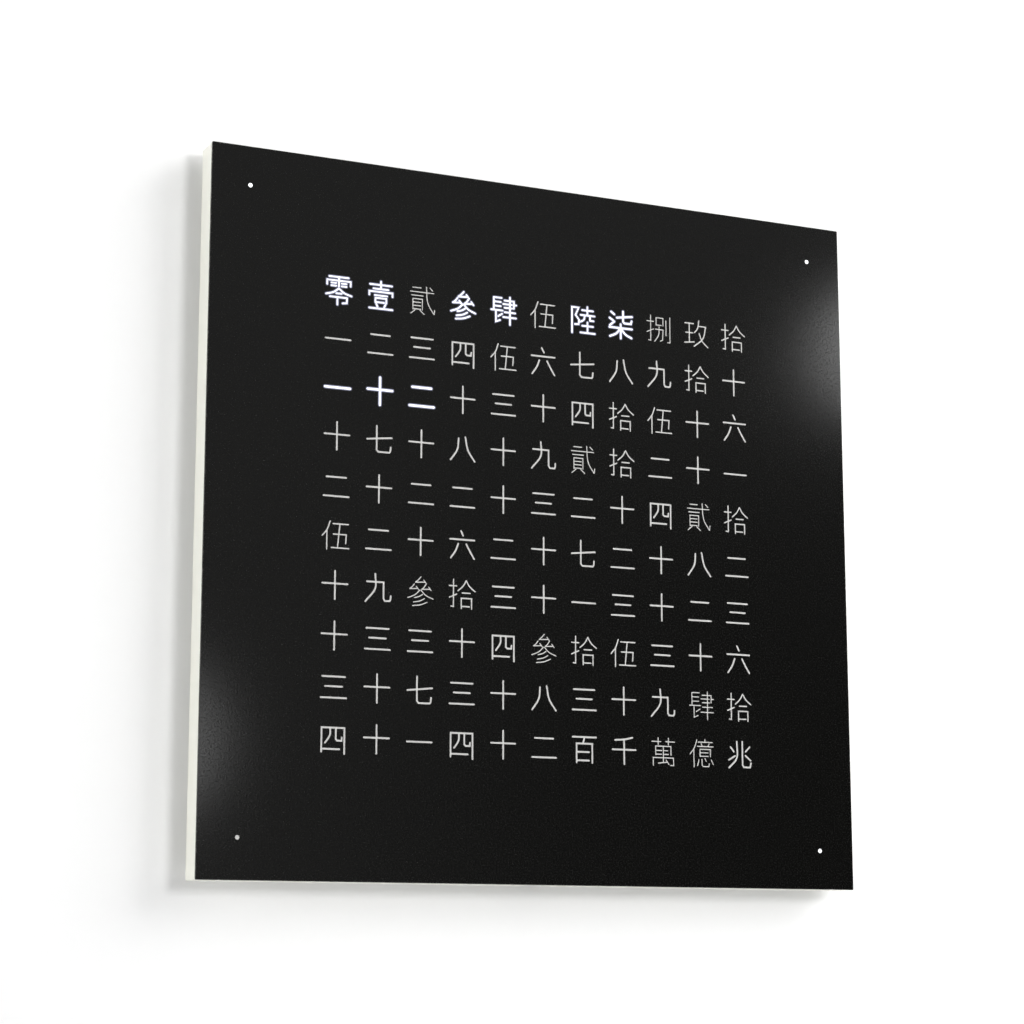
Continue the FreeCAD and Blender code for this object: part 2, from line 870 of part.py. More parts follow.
def make_ribbon_connectors():
    """Connector on the control board and connector on the back of the light source board."""
    half = ribbon_width / 2 + connector_side
    left, right = ribbon_centre_x - half, ribbon_centre_x + half
    lower = block(
        left, right, control_back_y, control_back_y + control_connector_height,
        control_top_z - connector_length, control_top_z,
    )
    upper = block(
        left, right, board_back_y, board_back_y + light_connector_height,
        light_connector_z, light_connector_z + connector_length,
    )
    return [lower, upper]


def make_ribbon_cable():
    """Flat cable that steps back through the slot, from one connector to the other."""
    start_y, end_y = control_ribbon_y, board_back_y + light_connector_height / 2
    bend, turn = ribbon_bend_radius, math.pi / 4
    rise, drift = bend * math.sin(turn), bend * (1 - math.cos(turn))
    half_rise, half_drift = bend * math.sin(turn / 2), bend * (1 - math.cos(turn / 2))
    slant = end_y - start_y - 2 * drift
    low_z = bay_top_z + bay_roof_wall / 2 - slant / 2 - rise
    high_z = low_z + slant + 2 * rise
    low, high = Vec(0, start_y, low_z), Vec(0, end_y, high_z)
    slant_start, slant_end = low + Vec(0, drift, rise), high - Vec(0, drift, rise)
    path = Part.Wire([
        Part.makeLine(Vec(0, start_y, control_top_z), low),
        Part.Arc(low, low + Vec(0, half_drift, half_rise), slant_start).toShape(),
        Part.makeLine(slant_start, slant_end),
        Part.Arc(slant_end, high - Vec(0, half_drift, half_rise), high).toShape(),
        Part.makeLine(high, Vec(0, end_y, light_connector_z)),
    ])
    half_width, half = ribbon_width / 2, ribbon_thickness / 2
    corners = [(-half_width, -half), (half_width, -half), (half_width, half), (-half_width, half)]
    points = [Vec(x, start_y + y, control_top_z) for x, y in corners]
    cable = path.makePipeShell([Part.makePolygon(points + points[:1])], True, False)
    cable.translate(Vec(ribbon_centre_x, 0, 0))
    return cable


def build_nodes():
    """Every node by name, each one solid or a list of like solids."""
    left, right = keyhole_centres()
    nodes = {
        "casing": make_casing(),
        "face_plate": make_face_plate(),
        "diffuser_sheet": make_diffuser_sheet(),
        "minute_dot_plugs": make_dot_plugs(),
        "cover_studs": make_cover_studs(),
        "cover_magnets": make_cover_magnets(),
        "light_board": make_light_board(),
        "light_sources": copies_at(make_light(light_side, light_height), cell_centres()),
        "light_grid": make_light_grid(),
        "grid_screws": make_grid_screws(),
        "board_spacers": make_board_spacers(),
        "minute_boards": make_minute_boards(),
        "minute_lights": copies_at(make_light(minute_light_side, minute_light_height), minute_centres()),
        "minute_leads": make_minute_leads(),
        "left_keyhole_plate": make_keyhole_plate(*left),
        "right_keyhole_plate": make_keyhole_plate(*right),
        "keyhole_screws": make_keyhole_screws(),
        "service_lid": make_service_lid(),
        "lid_screws": make_lid_screws(),
        "control_board": make_control_board(),
        "control_spacers": make_control_spacers(),
        "control_screws": make_control_screws(),
        "power_socket": make_power_socket(),
        "socket_pin": make_socket_pin(),
        "coin_cell_holder": make_coin_cell_holder(),
        "coin_cell": make_coin_cell(),
        "radio_module": make_radio_module(),
        "controller_chip": make_controller_chip(),
        "light_sensor": make_light_sensor(),
        "light_pipe": make_light_pipe(),
        "setting_switches": make_setting_switches(),
        "ribbon_connectors": make_ribbon_connectors(),
        "ribbon_cable": make_ribbon_cable(),
    }
    for name, x in zip(button_names, button_centres()):
        nodes[name] = make_button(x)
    return nodes


def main():
    """Writes one STEP file per node and prints each node's size."""
    os.makedirs("parts", exist_ok=True)
    for name, made in build_nodes().items():
        shape = Part.makeCompound(made) if isinstance(made, list) else made
        if not shape.isValid():
            raise RuntimeError(name + " is not a valid shape")
        shape.exportStep("parts/" + name + ".step")
        box = shape.BoundBox
        size = "%.1f x %.1f x %.1f mm" % (box.XLength, box.YLength, box.ZLength)
        print(name, size, len(shape.Solids), "solids")


main()
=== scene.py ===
import json
import math

import bmesh
import bpy
from bpy.props import FloatProperty, FloatVectorProperty, IntProperty, PointerProperty
from mathutils import Matrix, Vector
from mathutils.geometry import delaunay_2d_cdt

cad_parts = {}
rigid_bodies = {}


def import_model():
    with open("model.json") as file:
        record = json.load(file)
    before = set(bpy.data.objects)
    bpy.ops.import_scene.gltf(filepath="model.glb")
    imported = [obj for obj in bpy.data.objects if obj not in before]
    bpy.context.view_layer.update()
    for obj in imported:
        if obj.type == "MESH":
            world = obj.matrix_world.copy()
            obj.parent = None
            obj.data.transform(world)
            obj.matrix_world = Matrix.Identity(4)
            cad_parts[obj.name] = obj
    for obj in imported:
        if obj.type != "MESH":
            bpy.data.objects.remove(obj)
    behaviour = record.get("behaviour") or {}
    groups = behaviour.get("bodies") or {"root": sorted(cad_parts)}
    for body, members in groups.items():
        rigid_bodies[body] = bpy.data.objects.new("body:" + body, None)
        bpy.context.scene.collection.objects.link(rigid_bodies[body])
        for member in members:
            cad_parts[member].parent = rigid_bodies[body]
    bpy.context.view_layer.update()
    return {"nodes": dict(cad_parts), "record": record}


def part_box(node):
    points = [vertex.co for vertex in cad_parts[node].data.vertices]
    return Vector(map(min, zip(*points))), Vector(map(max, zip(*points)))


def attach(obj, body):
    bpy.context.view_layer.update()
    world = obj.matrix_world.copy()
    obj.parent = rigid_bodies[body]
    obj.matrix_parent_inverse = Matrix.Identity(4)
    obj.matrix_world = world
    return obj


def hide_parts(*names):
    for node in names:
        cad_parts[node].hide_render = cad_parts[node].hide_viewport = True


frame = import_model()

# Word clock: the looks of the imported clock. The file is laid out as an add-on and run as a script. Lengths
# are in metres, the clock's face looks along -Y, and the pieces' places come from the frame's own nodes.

bl_info = {
    "name": "Word clock",
    "version": (1, 0, 0),
    "blender": (4, 5, 0),
    "location": "3D View > Sidebar > Word clock",
    "description": "Dresses the packed word clock: face plate, numerals, dots, fixings, finishes and stage",
    "category": "Add Mesh",
}

MM = 0.001
PLATE_LOW, PLATE_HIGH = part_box("face_plate")
PLATE_FRONT = PLATE_LOW.y
PLATE_BACK = PLATE_HIGH.y
PLATE_HALF = PLATE_HIGH.x
GLUE_MARGIN = 4.0 * MM
FIELD_SIDE = 2.0 * (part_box("diffuser_sheet")[1].x - GLUE_MARGIN)
MESH_SNAP = 1e-6
SMOOTH_ANGLE = math.radians(32.0)

# The dial holds plain numerals in counting order. Every fifth number is written with the full, formal digits.
PLAIN = "零一二三四五六七八九十"
FORMAL = "零壹貳參肆伍陸柒捌玖拾"
LARGE = "百千萬億兆"
LAST_NUMBER = 42
LIT_CELLS = {(0, 0), (0, 1), (0, 3), (0, 4), (0, 6), (0, 7), (2, 0), (2, 1), (2, 2)}

# Centre lines of each numeral's strokes on a grid 20 units square. "/" parts the strokes and "~" marks a
# smooth curve.
GRID_UNITS = 20.0
STROKES = {
    "一": "1,10 19,10",
    "二": "3,16 17,16 / 1,3 19,3",
    "三": "2,17 18,17 / 4,10.5 16,10.5 / 1,3 19,3",
    "四": "2,1 2,17 18,17 18,0 / 2,3 14.5,3 / ~8,17 7.8,12 4.5,7 / 12,17 12,9.5 13,8.6 16,8.6 16.2,10.8",
    "五": "2,18 17,18 / 8.5,18 5.6,2 / 3,11.5 15.5,11.5 14.8,5 / 1,2 19,2",
    "六": "~9,20 10,18 10.6,16.8 / 1,14 19,14 / ~7,11 5,6 1.5,1 / ~13,11 15.5,6.5 18.8,1.2",
    "七": "1,10.5 19,12.5 / 8,20 8,3.6 9.2,2.2 17.2,2.2 18,3.2 18.2,6",
    "八": "~7,17 6,9 1,1.5 / ~12,18 14,9 19,1.5",
    "九": "2,14.5 14,14.5 14,3.5 15,2 18.4,2 19,3 19.2,5.5 / ~8,20 8,10 1,1",
    "十": "1,11.5 19,11.5 / 10,20 10,1",
    "百": "1,18 19,18 / ~10,18 9.6,16 9,14 / 4,0.5 4,13.5 16,13.5 16,0.5 / 4,7.8 13.5,7.8 / 4,2 13.5,2",
    "千": "~16.5,19 10,17.6 3,17 / 1,10.5 19,10.5 / 10,17.5 10,0.5",
    "萬": "1,17.2 8,17.2 / 12,17.2 19,17.2 / 6,19.8 6,15 / 14,19.8 14,15 / 4,8 4,14 16,14 16,8"
          " / 4,11 8.8,11 / 10,11 13.5,11 / 4,8.4 8.8,8.4 / 10,8.4 14,8.4 / 10,14 10,3"
          " / 2,0.5 2,6 18,6 18,0.8 15.5,0.8 / ~6,2.2 9,2.6 13,3 / 12.2,4.4 14.2,1.6",
    "億": "~6,19.5 4,14 0.5,9.5 / 3.6,13.5 3.6,0.5 / 12.5,20 12.5,18.3 / 7,18 18.5,18 / 9.5,17 10.3,15.2"
          " / 15.8,17 15,15.2 / 6.5,15 19,15 / 8.5,8 8.5,13 16.8,13 16.8,8 / 8.5,10.6 15,10.6"
          " / 8.5,8.2 15,8.2 / 7.5,5.6 6.4,1.5 / 10,6 10,2 11,1 15.4,1 15.8,3 / 12.4,6.6 13.4,4.6"
          " / 17.4,5.8 19,2.6",
    "兆": "~7.6,19.5 7.4,8 1,0.8 / 12,19.5 12,3 13,1.6 18.2,1.6 18.8,4.6 / 2.4,15.5 5,12.4 / 1,6.4 6.2,9.4"
          " / 18,16 14.6,12.6 / 14.4,9.8 18.6,6.4",
    "零": "3,19.5 17,19.5 / 10,19.5 10,13 / 1.5,13.8 1.5,17 18.5,17 18.5,13.8 / 4.5,15.2 8,15.2"
          " / 12,15.2 15.5,15.2 / 4.5,13.2 8,13.2 / 12,13.2 15.5,13.2 / ~10,11.6 6,8.6 0.8,7"
          " / ~10,11.6 14,8.6 19.2,7 / 8.2,8 12,8 / 3.6,5.4 16,5.4 15.8,1.8 12.8,1.4 / 9,5.4 9,0.2",
    "壹": "2,17.5 18,17.5 / 10,20 10,14.6 / 4.5,14.6 15.5,14.6 / 1.5,10 1.5,12.6 18.5,12.6 18.5,10"
          " / 5.5,10 14.5,10 / 6,5 6,8.2 14,8.2 14,5 / 6,5.2 12.4,5.2 / 6.6,4 7.6,2 / 13.4,4 12.4,2"
          " / 1.5,0.8 18.5,0.8",
    "貳": "1,16 18.5,16 / ~13,20 14,9 18.6,1.2 / 18.8,1.2 19.2,4.2 / 15.6,19.6 17.6,17.8 / 3,19 9,19"
          " / 2,13.4 10.5,13.4 / 3,3.4 3,11 10,11 10,3.4 / 3,8.6 8.8,8.6 / 3,6.2 8.8,6.2 / 3,3.8 8.8,3.8"
          " / 4.6,3 1.4,0.4 / 8.4,3 11.4,0.4",
    "參": "~10.4,20 8.2,17.6 6.4,16.2 / 6.4,16.2 13.6,16.6 / 12.4,18 14.4,15.4 / ~5.6,15 4,13 2.2,11.6"
          " / 2.2,11.6 8,12 / 7,13.4 8.8,11.2 / ~14,15 12.6,13 11,11.6 / 11,11.6 17,12 / 16,13.4 17.8,11.2"
          " / ~9.6,11 6,7.6 0.8,5.4 / ~10.4,11 14,7.6 19.2,5.4 / ~11.6,8.2 9,6.6 5.6,5.6"
          " / ~13,5.4 9.6,3.6 5,2.6 / ~15,3 10,1 4.4,0.2",
    "肆": "2.6,19 8.6,19 / 2.6,19 2.6,10 / 2.6,16 8,16 / 2.6,13 8,13 / 0.6,10 9.4,10 / 4.2,10 4.2,1.6 7.4,3"
          " / 9,7.6 5.8,5.6 / 15,20 15,0.2 / 10.8,17.4 18,17.4 18,12.2 / 9.8,14.8 16.6,14.8"
          " / 18,14.8 19.8,14.8 / 10.8,12.2 16.6,12.2 / 11,9 19,9 / 9.8,5.4 19.6,5.4",
    "伍": "~6,19.5 4,14 0.5,9.5 / 3.8,13.5 3.8,0.5 / 8,18 19,18 / 13,18 11.4,1.8 / 8.4,11 17.6,11 17.2,5"
          " / 7,1.8 19.6,1.8",
    "陸": "2,0.3 2,19 7.4,19 4.8,13.4 7.6,10 7.2,6.8 4.2,6.6 / 10,17.4 18.6,17.4 / 14.2,20 14.2,13.8"
          " / 8.8,13.8 19.8,13.8 / ~12,13 11.4,10.6 8.8,8.8 / 16.2,13 16.2,10.2 19,10.2 / 10,6 18.6,6"
          " / 14.2,8.8 14.2,1 / 8.6,1 20,1",
    "柒": "2.4,19 5,17.2 / 1.2,14.4 3.8,12.8 / 1.4,9 5,12 / 7,15 19.2,16.8"
          " / 12,20 12,12.4 13,11.4 18.2,11.4 18.8,13.6 / 1,7.6 19,7.6 / 10,10.4 10,0"
          " / ~9.6,7.2 6.4,3.4 1.4,1 / ~10.4,7.2 13.6,3.4 18.6,1",
    "捌": "0.6,15.6 6,15.6 / 3.6,20 3.6,1.4 1.8,1.6 / 0.6,7.6 6,10 / 8,13 8,18.6 13.6,18.6 13.6,13"
          " / 8,13.2 12.2,13.2 / 7.4,10 13.6,10 13.2,2.4 11.4,1.6 / ~10.4,12 10,6 6.8,1 / 16,17 16,6"
          " / 19.2,19.6 19.2,1 17.2,1",
    "玖": "1,17.6 8,17.6 / 1.6,10.6 7.4,10.6 / 0.6,3 8.4,4 / 4.5,17.6 4.5,3.4 / ~12.4,20 11.4,14.4 8.8,11"
          " / 12,16 18,16 / ~18,16 15.6,7 8.4,0.8 / ~12.6,10.6 15,5 19.6,0.8",
    "拾": "0.6,15.6 6,15.6 / 3.6,20 3.6,1.4 1.8,1.6 / 0.6,7.6 6,10 / ~13,19.6 10.6,15.6 7,12.4"
          " / ~13,19.6 15.6,15.6 19.6,12.4 / 10.2,11 16,11 / 9.4,0.4 9.4,7.4 17,7.4 17,0.4"
          " / 9.4,1.8 15.4,1.8",
}
MIDDLING = "柒拾玖伍"
DENSE = "零壹貳參肆陸捌億萬"


def linear(red, green, blue):
    """A colour given as 0-255 screen values, as the linear values that a shader takes."""
    def one(value):
        part = value / 255.0
        return part / 12.92 if part <= 0.04045 else ((part + 0.055) / 1.055) ** 2.4
    return (one(red), one(green), one(blue))


def opaque(colour, shade=1.0):
    """Red, green and blue, made lighter or darker, with the alpha that a colour socket holds."""
    return tuple(min(part * shade, 1.0) for part in colour[:3]) + (1.0,)


RECORD_COLOUR = {held["slot"]: held["base_color"] for held in frame["record"]["materials"]}


# Sizes and colours a user may change


def length_property(name, description, default):
    return FloatProperty(name=name, description=description, default=default, unit="LENGTH")


def power_property(name, description, default):
    return FloatProperty(name=name, description=description, default=default, unit="POWER")


def angle_property(name, description, default):
    return FloatProperty(name=name, description=description, default=default, subtype="ANGLE")


def colour_property(name, description, default):
    return FloatVectorProperty(
        name=name, description=description, subtype="COLOR", default=default, min=0.0, max=1.0)


class DialSizes(bpy.types.PropertyGroup):
    """Sizes of the face plate and its numerals."""

    columns: IntProperty(name="Columns", description="Numerals in a row", default=11, min=1)
    rows: IntProperty(name="Rows", description="Rows of numerals", default=10, min=1)
    numeral_height: length_property("Numeral height", "Side of the square that a numeral fills", 18.4 * MM)
    plain_stroke: length_property("Plain stroke", "Width of the strokes of a plain numeral", 1.13 * MM)
    middling_stroke: length_property(
        "Middling stroke", "Width of the strokes of a numeral with more strokes", 0.86 * MM)
    dense_stroke: length_property(
        "Dense stroke", "Width of the strokes of a numeral with many strokes", 0.68 * MM)
    halo: length_property("Halo", "How far a lit stroke's light spreads over the coat beside it", 0.8 * MM)
    resin_drop: length_property("Resin drop", "How far the resin lies below the plate's front", 0.05 * MM)
    plate_round: length_property("Plate rounding", "Rounding of the plate's front edge", 0.22 * MM)
    plate_corner: length_property("Plate corner", "Radius of the plate's four corners", 0.6 * MM)
    dot_width: length_property("Dot width", "Diameter of a minute dot", 2.8 * MM)


class FinishColours(bpy.types.PropertyGroup):
    """Colours of the surfaces that show most."""

    coat: colour_property("Coat", "Black powder coat of the plate", linear(7, 7, 6))
    lacquer: colour_property("Lacquer", "Cream lacquer of the casing", linear(232, 232, 222))
    resin: colour_property("Resin", "Unlit resin in the numerals", linear(193, 192, 190))
    light: colour_property("Light", "Light that comes through a lit numeral", (0.94, 0.95, 1.0))
    halo: colour_property("Halo", "Light on the coat beside a lit stroke", (0.62, 0.64, 0.86))
    wall: colour_property("Wall", "Paint of the wall and the floor", (0.8, 0.8, 0.8))


class StageSizes(bpy.types.PropertyGroup):
    """Camera and lamps."""

    camera_place: FloatVectorProperty(
        name="Camera", description="Place of the camera", subtype="XYZ", unit="LENGTH",
        default=(-0.6614, -1.4078, -0.2770))
    camera_up: angle_property("Tilt", "How far the camera looks up", math.radians(10.582))
    camera_right: angle_property("Turn", "How far the camera looks to the right", math.radians(24.732))
    camera_lens: FloatProperty(
        name="Lens", description="Focal length", default=86.29, subtype="DISTANCE_CAMERA")
    floor_drop: length_property("Floor drop", "Height of the clock's middle over the floor", 1.5)
    key_power: power_property("Key power", "Power of the large soft lamp", 60.0)
    front_power: power_property("Front power", "Power of the soft lamp nearer the clock's front", 26.0)
    left_power: power_property("Left power", "Power of the lamp along the wall on the left", 26.0)
    back_power: power_property("Back power", "Power of the soft lamp behind the clock", 36.0)


# Node trees


class Wire:
    """An output socket. Arithmetic on it adds Math nodes."""

    def __init__(self, net, socket):
        self.net = net
        self.socket = socket

    def math(self, operation, *others):
        return self.net.node("ShaderNodeMath", {"operation": operation}, dict(enumerate((self, *others))))

    def from_number(self, operation, number):
        return self.net.node("ShaderNodeMath", {"operation": operation}, {0: number, 1: self})

    def __add__(self, other):
        return self.math("ADD", other)

    def __sub__(self, other):
        return self.math("SUBTRACT", other)

    def __mul__(self, other):
        return self.math("MULTIPLY", other)

    def __truediv__(self, other):
        return self.math("DIVIDE", other)

    def __radd__(self, number):
        return self.from_number("ADD", number)

    def __rsub__(self, number):
        return self.from_number("SUBTRACT", number)

    def __rmul__(self, number):
        return self.from_number("MULTIPLY", number)

    def __rtruediv__(self, number):
        return self.from_number("DIVIDE", number)

    def rise(self, low, high):
        """0 below low, 1 above high, and a smooth step between."""
        return self.net.node(
            "ShaderNodeMapRange", {"interpolation_type": "SMOOTHSTEP"},
            {"Value": self, "From Min": low, "From Max": high})

    def other(self, name):
        """Another output of the same node."""
        return Wire(self.net, self.socket.node.outputs[name])


class Net:
    """A node tree filled by one method."""

    def __init__(self, tree):
        self.tree = tree
        tree.nodes.clear()

    def node(self, kind, settings=None, sockets=None, output=0):
        """Adds a node, its settings first, then the values or links of its sockets. Gives one output."""
        made = self.tree.nodes.new(kind)
        for name, value in (settings or {}).items():
            setattr(made, name, value)
        for name, value in (sockets or {}).items():
            if isinstance(value, (Wire, list)):
                for wire in value if isinstance(value, list) else [value]:
                    self.tree.links.new(wire.socket, made.inputs[name])
            else:
                made.inputs[name].default_value = value
        return Wire(self, made.outputs[output]) if made.outputs else None


class Finish(Net):
    """A surface finish. Patterns lie on the piece's own coordinates, in metres."""

    def __init__(self, name):
        self.material = bpy.data.materials.new(name)
        self.material.use_nodes = True
        super().__init__(self.material.node_tree)

    def place(self):
        return self.node("ShaderNodeTexCoord", output="Object")

    def axes(self):
        """The three coordinates as numbers."""
        parts = self.node("ShaderNodeSeparateXYZ", sockets={0: self.place()})
        return parts, parts.other("Y"), parts.other("Z")

    def stretched(self, x, y, z):
        return self.node(
            "ShaderNodeVectorMath", {"operation": "MULTIPLY"}, {0: self.place(), 1: (x, y, z)})

    def noise(self, size, detail=2.0, vector=None):
        """Noise whose blotches are about size across."""
        return self.node(
            "ShaderNodeTexNoise", None,
            {"Vector": vector or self.place(), "Scale": 1.0 / size, "Detail": detail})

    def attribute(self, name):
        return self.node("ShaderNodeAttribute", {"attribute_name": name}, output="Fac")

    def blend(self, factor, low, high):
        """From colour low at 0 to colour high at 1."""
        return self.node(
            "ShaderNodeMix", {"data_type": "RGBA", "clamp_factor": True},
            {0: factor, 6: low, 7: high}, output=2)

    def bump(self, height, distance):
        return self.node("ShaderNodeBump", None, {"Height": height, "Distance": distance})

    def surface(self, **sockets):
        """Ends the tree in the main shader. Underscores in socket names stand for spaces."""
        named = {name.replace("_", " "): value for name, value in sockets.items()}
        return self.end(self.node("ShaderNodeBsdfPrincipled", None, named))

    def end(self, shader):
        self.node("ShaderNodeOutputMaterial", None, {"Surface": shader})
        return self.material


def powder_coat(colours):
    """Fine-grained black coat, worn a little along the outer edge, with a painted glow beside the lit
    strokes.
    """
    coat = Finish("black_powder_coat")
    grain = coat.noise(1.0 * MM)
    pebble = coat.noise(2.2 * MM)
    cloud = coat.noise(70.0 * MM)
    across, _, up = coat.axes()
    edge = across.math("ABSOLUTE").math("MAXIMUM", up.math("ABSOLUTE"))
    worn = edge.rise(PLATE_HALF - 0.5 * MM, PLATE_HALF) * coat.noise(5.0 * MM, 4.0).rise(0.45, 0.7)
    shade = coat.blend(grain.rise(0.3, 0.7), opaque(colours.coat, 0.6), opaque(colours.coat, 1.5))
    base = coat.blend(worn * 0.6, shade, opaque(linear(92, 90, 86)))
    glow = coat.attribute("glow")
    return coat.surface(
        Base_Color=base,
        Roughness=0.14 + grain.rise(0.35, 0.65) * 0.14 + cloud * 0.02,
        Normal=coat.bump(grain * 0.7 + pebble * 0.3, 0.08 * MM),
        # The emission beside the lit strokes is a painted glow: the coat itself gives off the numerals' spilt
        # light.
        Emission_Color=coat.blend(glow, (0.0, 0.0, 0.0, 1.0), opaque(colours.halo)),
        Emission_Strength=1.0)


def cream_lacquer(colours):
    """Sprayed lacquer over fibreboard, with the cutter's passes left on the milled faces inside."""
    lacquer = Finish("cream_lacquer")
    cloud = lacquer.noise(60.0 * MM, 3.0)
    speck = lacquer.noise(0.7 * MM)
    peel = lacquer.noise(2.6 * MM)
    fibre = lacquer.noise(0.35 * MM, 3.0, lacquer.stretched(1.0, 3.0, 1.0))
    across, deep, up = lacquer.axes()
    far = across.math("ABSOLUTE").math("MAXIMUM", up.math("ABSOLUTE"))
    behind_front = deep.rise(-17.9 * MM, -17.5 * MM)
    before_back = 1.0 - deep.rise(-0.6 * MM, -0.2 * MM)
    within_sides = 1.0 - far.rise(223.0 * MM, 224.0 * MM)
    milled = behind_front * before_back * within_sides
    cutter_step = 6.0 * MM
    passes = (across * (math.tau / cutter_step)).math("SINE").math("ABSOLUTE")
    base = lacquer.blend(
        cloud * 0.5 + speck * 0.25 + milled * 0.3,
        opaque(colours.lacquer, 1.02), opaque(colours.lacquer, 0.93))
    return lacquer.surface(
        Base_Color=base,
        Roughness=0.34 + cloud * 0.12 + milled * 0.2,
        Normal=lacquer.bump(peel * 0.7 + fibre * 0.3 + milled * passes * 0.4, 0.05 * MM),
        Coat_Weight=0.15 - milled * 0.15,
        Coat_Roughness=0.3)


def unlit_resin(colours):
    """Milky resin in an unlit numeral."""
    resin = Finish("unlit_resin")
    cloud = resin.noise(9.0 * MM)
    grain = resin.noise(0.5 * MM)
    base = resin.blend(cloud * 0.6 + grain * 0.4, opaque(colours.resin, 0.9), opaque(colours.resin, 1.08))
    return resin.surface(
        Base_Color=base,
        Roughness=0.5 + grain * 0.15,
        Normal=resin.bump(grain, 0.03 * MM))


def lit_resin(colours):
    """Milky resin with a light source behind it."""
    resin = Finish("lit_resin")
    cloud = resin.noise(6.0 * MM)
    return resin.surface(
        Base_Color=opaque(colours.resin),
        Roughness=0.5,
        Normal=resin.bump(resin.noise(0.5 * MM), 0.03 * MM),
        Emission_Color=resin.blend(cloud, opaque(colours.light, 0.97), opaque(colours.light)),
        Emission_Strength=1.15)


def moulded(name, colour, grain_size, roughness, depth):
    """Moulded plastic with a fine spark-eroded grain."""
    plastic = Finish(name)
    grain = plastic.noise(grain_size)
    cloud = plastic.noise(18.0 * MM)
    base = plastic.blend(cloud * 0.7 + grain * 0.3, opaque(colour, 0.9), opaque(colour, 1.06))
    return plastic.surface(
        Base_Color=base,
        Roughness=roughness + cloud * 0.1,
        Normal=plastic.bump(grain, depth))


def brushed(name, colour, roughness, along=(1.0, 1.0, 40.0)):
    """Rolled sheet metal, brushed one way, with a few scratches."""
    metal = Finish(name)
    lines = metal.noise(6.0 * MM, 4.0, metal.stretched(*along))
    cloud = metal.noise(12.0 * MM, 3.0)
    scratch = metal.noise(3.0 * MM, 2.0, metal.stretched(1.0, 1.0, 18.0)).rise(0.66, 0.72)
    base = metal.blend(lines * 0.5 + cloud * 0.5, opaque(colour, 0.8), opaque(colour, 1.1))
    return metal.surface(
        Base_Color=base,
        Metallic=1.0,
        Roughness=roughness + lines * 0.12 + cloud * 0.08 - scratch * 0.08,
        Normal=metal.bump(lines + scratch * 0.5, 0.02 * MM))


def lathe_turned(name, colour, roughness, pitch=0.12 * MM):
    """Turned or pressed metal: rings about each piece's own axis, from the distance kept on its points."""
    metal = Finish(name)
    out = metal.attribute("out")
    rings = (out * (math.tau / pitch)).math("SINE")
    cloud = metal.noise(3.0 * MM, 3.0)
    base = metal.blend(cloud, opaque(colour, 0.82), opaque(colour, 1.08))
    return metal.surface(
        Base_Color=base,
        Metallic=1.0,
        Roughness=roughness + cloud * 0.16,
        Normal=metal.bump(rings * 0.5 + cloud * 0.5, 0.006 * MM))


def galvanised(name, colour):
    """Zinc-coated sheet with its soft crystal pattern."""
    zinc = Finish(name)
    flake = zinc.node("ShaderNodeTexVoronoi", None, {"Vector": zinc.place(), "Scale": 1.0 / (3.4 * MM)},
                      output="Color")
    tone = zinc.node("ShaderNodeSeparateColor", sockets={0: flake})
    lines = zinc.noise(4.0 * MM, 3.0, zinc.stretched(30.0, 1.0, 1.0))
    base = zinc.blend(tone * 0.7 + lines * 0.3, opaque(colour, 0.78), opaque(colour, 1.1))
    return zinc.surface(
        Base_Color=base,
        Metallic=1.0,
        Roughness=0.32 + tone * 0.16 + lines * 0.06,
        Normal=zinc.bump(lines, 0.012 * MM))


def circuit_board(name, colour, track_shade):
    """Solder mask over tracks, which stand up a little under it."""
    board = Finish(name)
    across, _, up = board.axes()
    flat = board.node("ShaderNodeCombineXYZ", sockets={0: across, 1: up})
    turned_flat = board.node("ShaderNodeCombineXYZ", sockets={0: up, 1: across})
    tracks = [
        board.node(
            "ShaderNodeTexBrick", {"offset": 0.37, "squash": 0.7, "squash_frequency": 3},
            {"Vector": way, "Scale": 1.0, "Mortar Size": 0.22 * MM, "Mortar Smooth": 0.2,
             "Brick Width": wide, "Row Height": high}, output="Fac")
        for way, wide, high in ((flat, 11.0 * MM, 2.6 * MM), (turned_flat, 17.0 * MM, 4.1 * MM))]
    lines = tracks[0].math("MAXIMUM", tracks[1])
    weave = board.noise(0.5 * MM)
    base = board.blend(lines * 0.8 + weave * 0.2, opaque(colour), opaque(colour, track_shade))
    return board.surface(
        Base_Color=base,
        Roughness=0.32 + weave * 0.12,
        Normal=board.bump(lines + weave * 0.1, 0.03 * MM),
        Coat_Weight=0.3)


def ribbon(name, colour):
    """Flat cable: a ridge over each wire, painted shade in the grooves between the wires, and a red first
    wire.
    """
    cable = Finish(name)
    across, _, _ = cable.axes()
    wire_pitch = 1.27 * MM
    ridge = (across * (math.pi / wire_pitch)).math("SINE").math("ABSOLUTE")
    first = 1.0 - across.rise(9.1 * MM, 9.3 * MM)
    # The grooves between the wires are painted darker: a painted shade, not a colour of the cable.
    base = cable.blend(ridge.rise(0.1, 0.5), opaque(colour, 0.75), opaque(colour))
    return cable.surface(
        Base_Color=cable.blend(first, base, opaque(linear(176, 40, 34))),
        Roughness=0.42 + cable.noise(2.0 * MM) * 0.1,
        Normal=cable.bump(ridge, 0.25 * MM))


def clear_rod(name):
    """Clear moulded rod that leads room light to the sensor."""
    rod = Finish(name)
    ripple = rod.noise(1.5 * MM)
    return rod.surface(
        Base_Color=rod.blend(ripple, (0.9, 0.94, 0.95, 1.0), (0.98, 0.99, 1.0, 1.0)),
        Roughness=0.06 + ripple * 0.08,
        Normal=rod.bump(ripple, 0.01 * MM),
        Transmission_Weight=0.9, IOR=1.49)


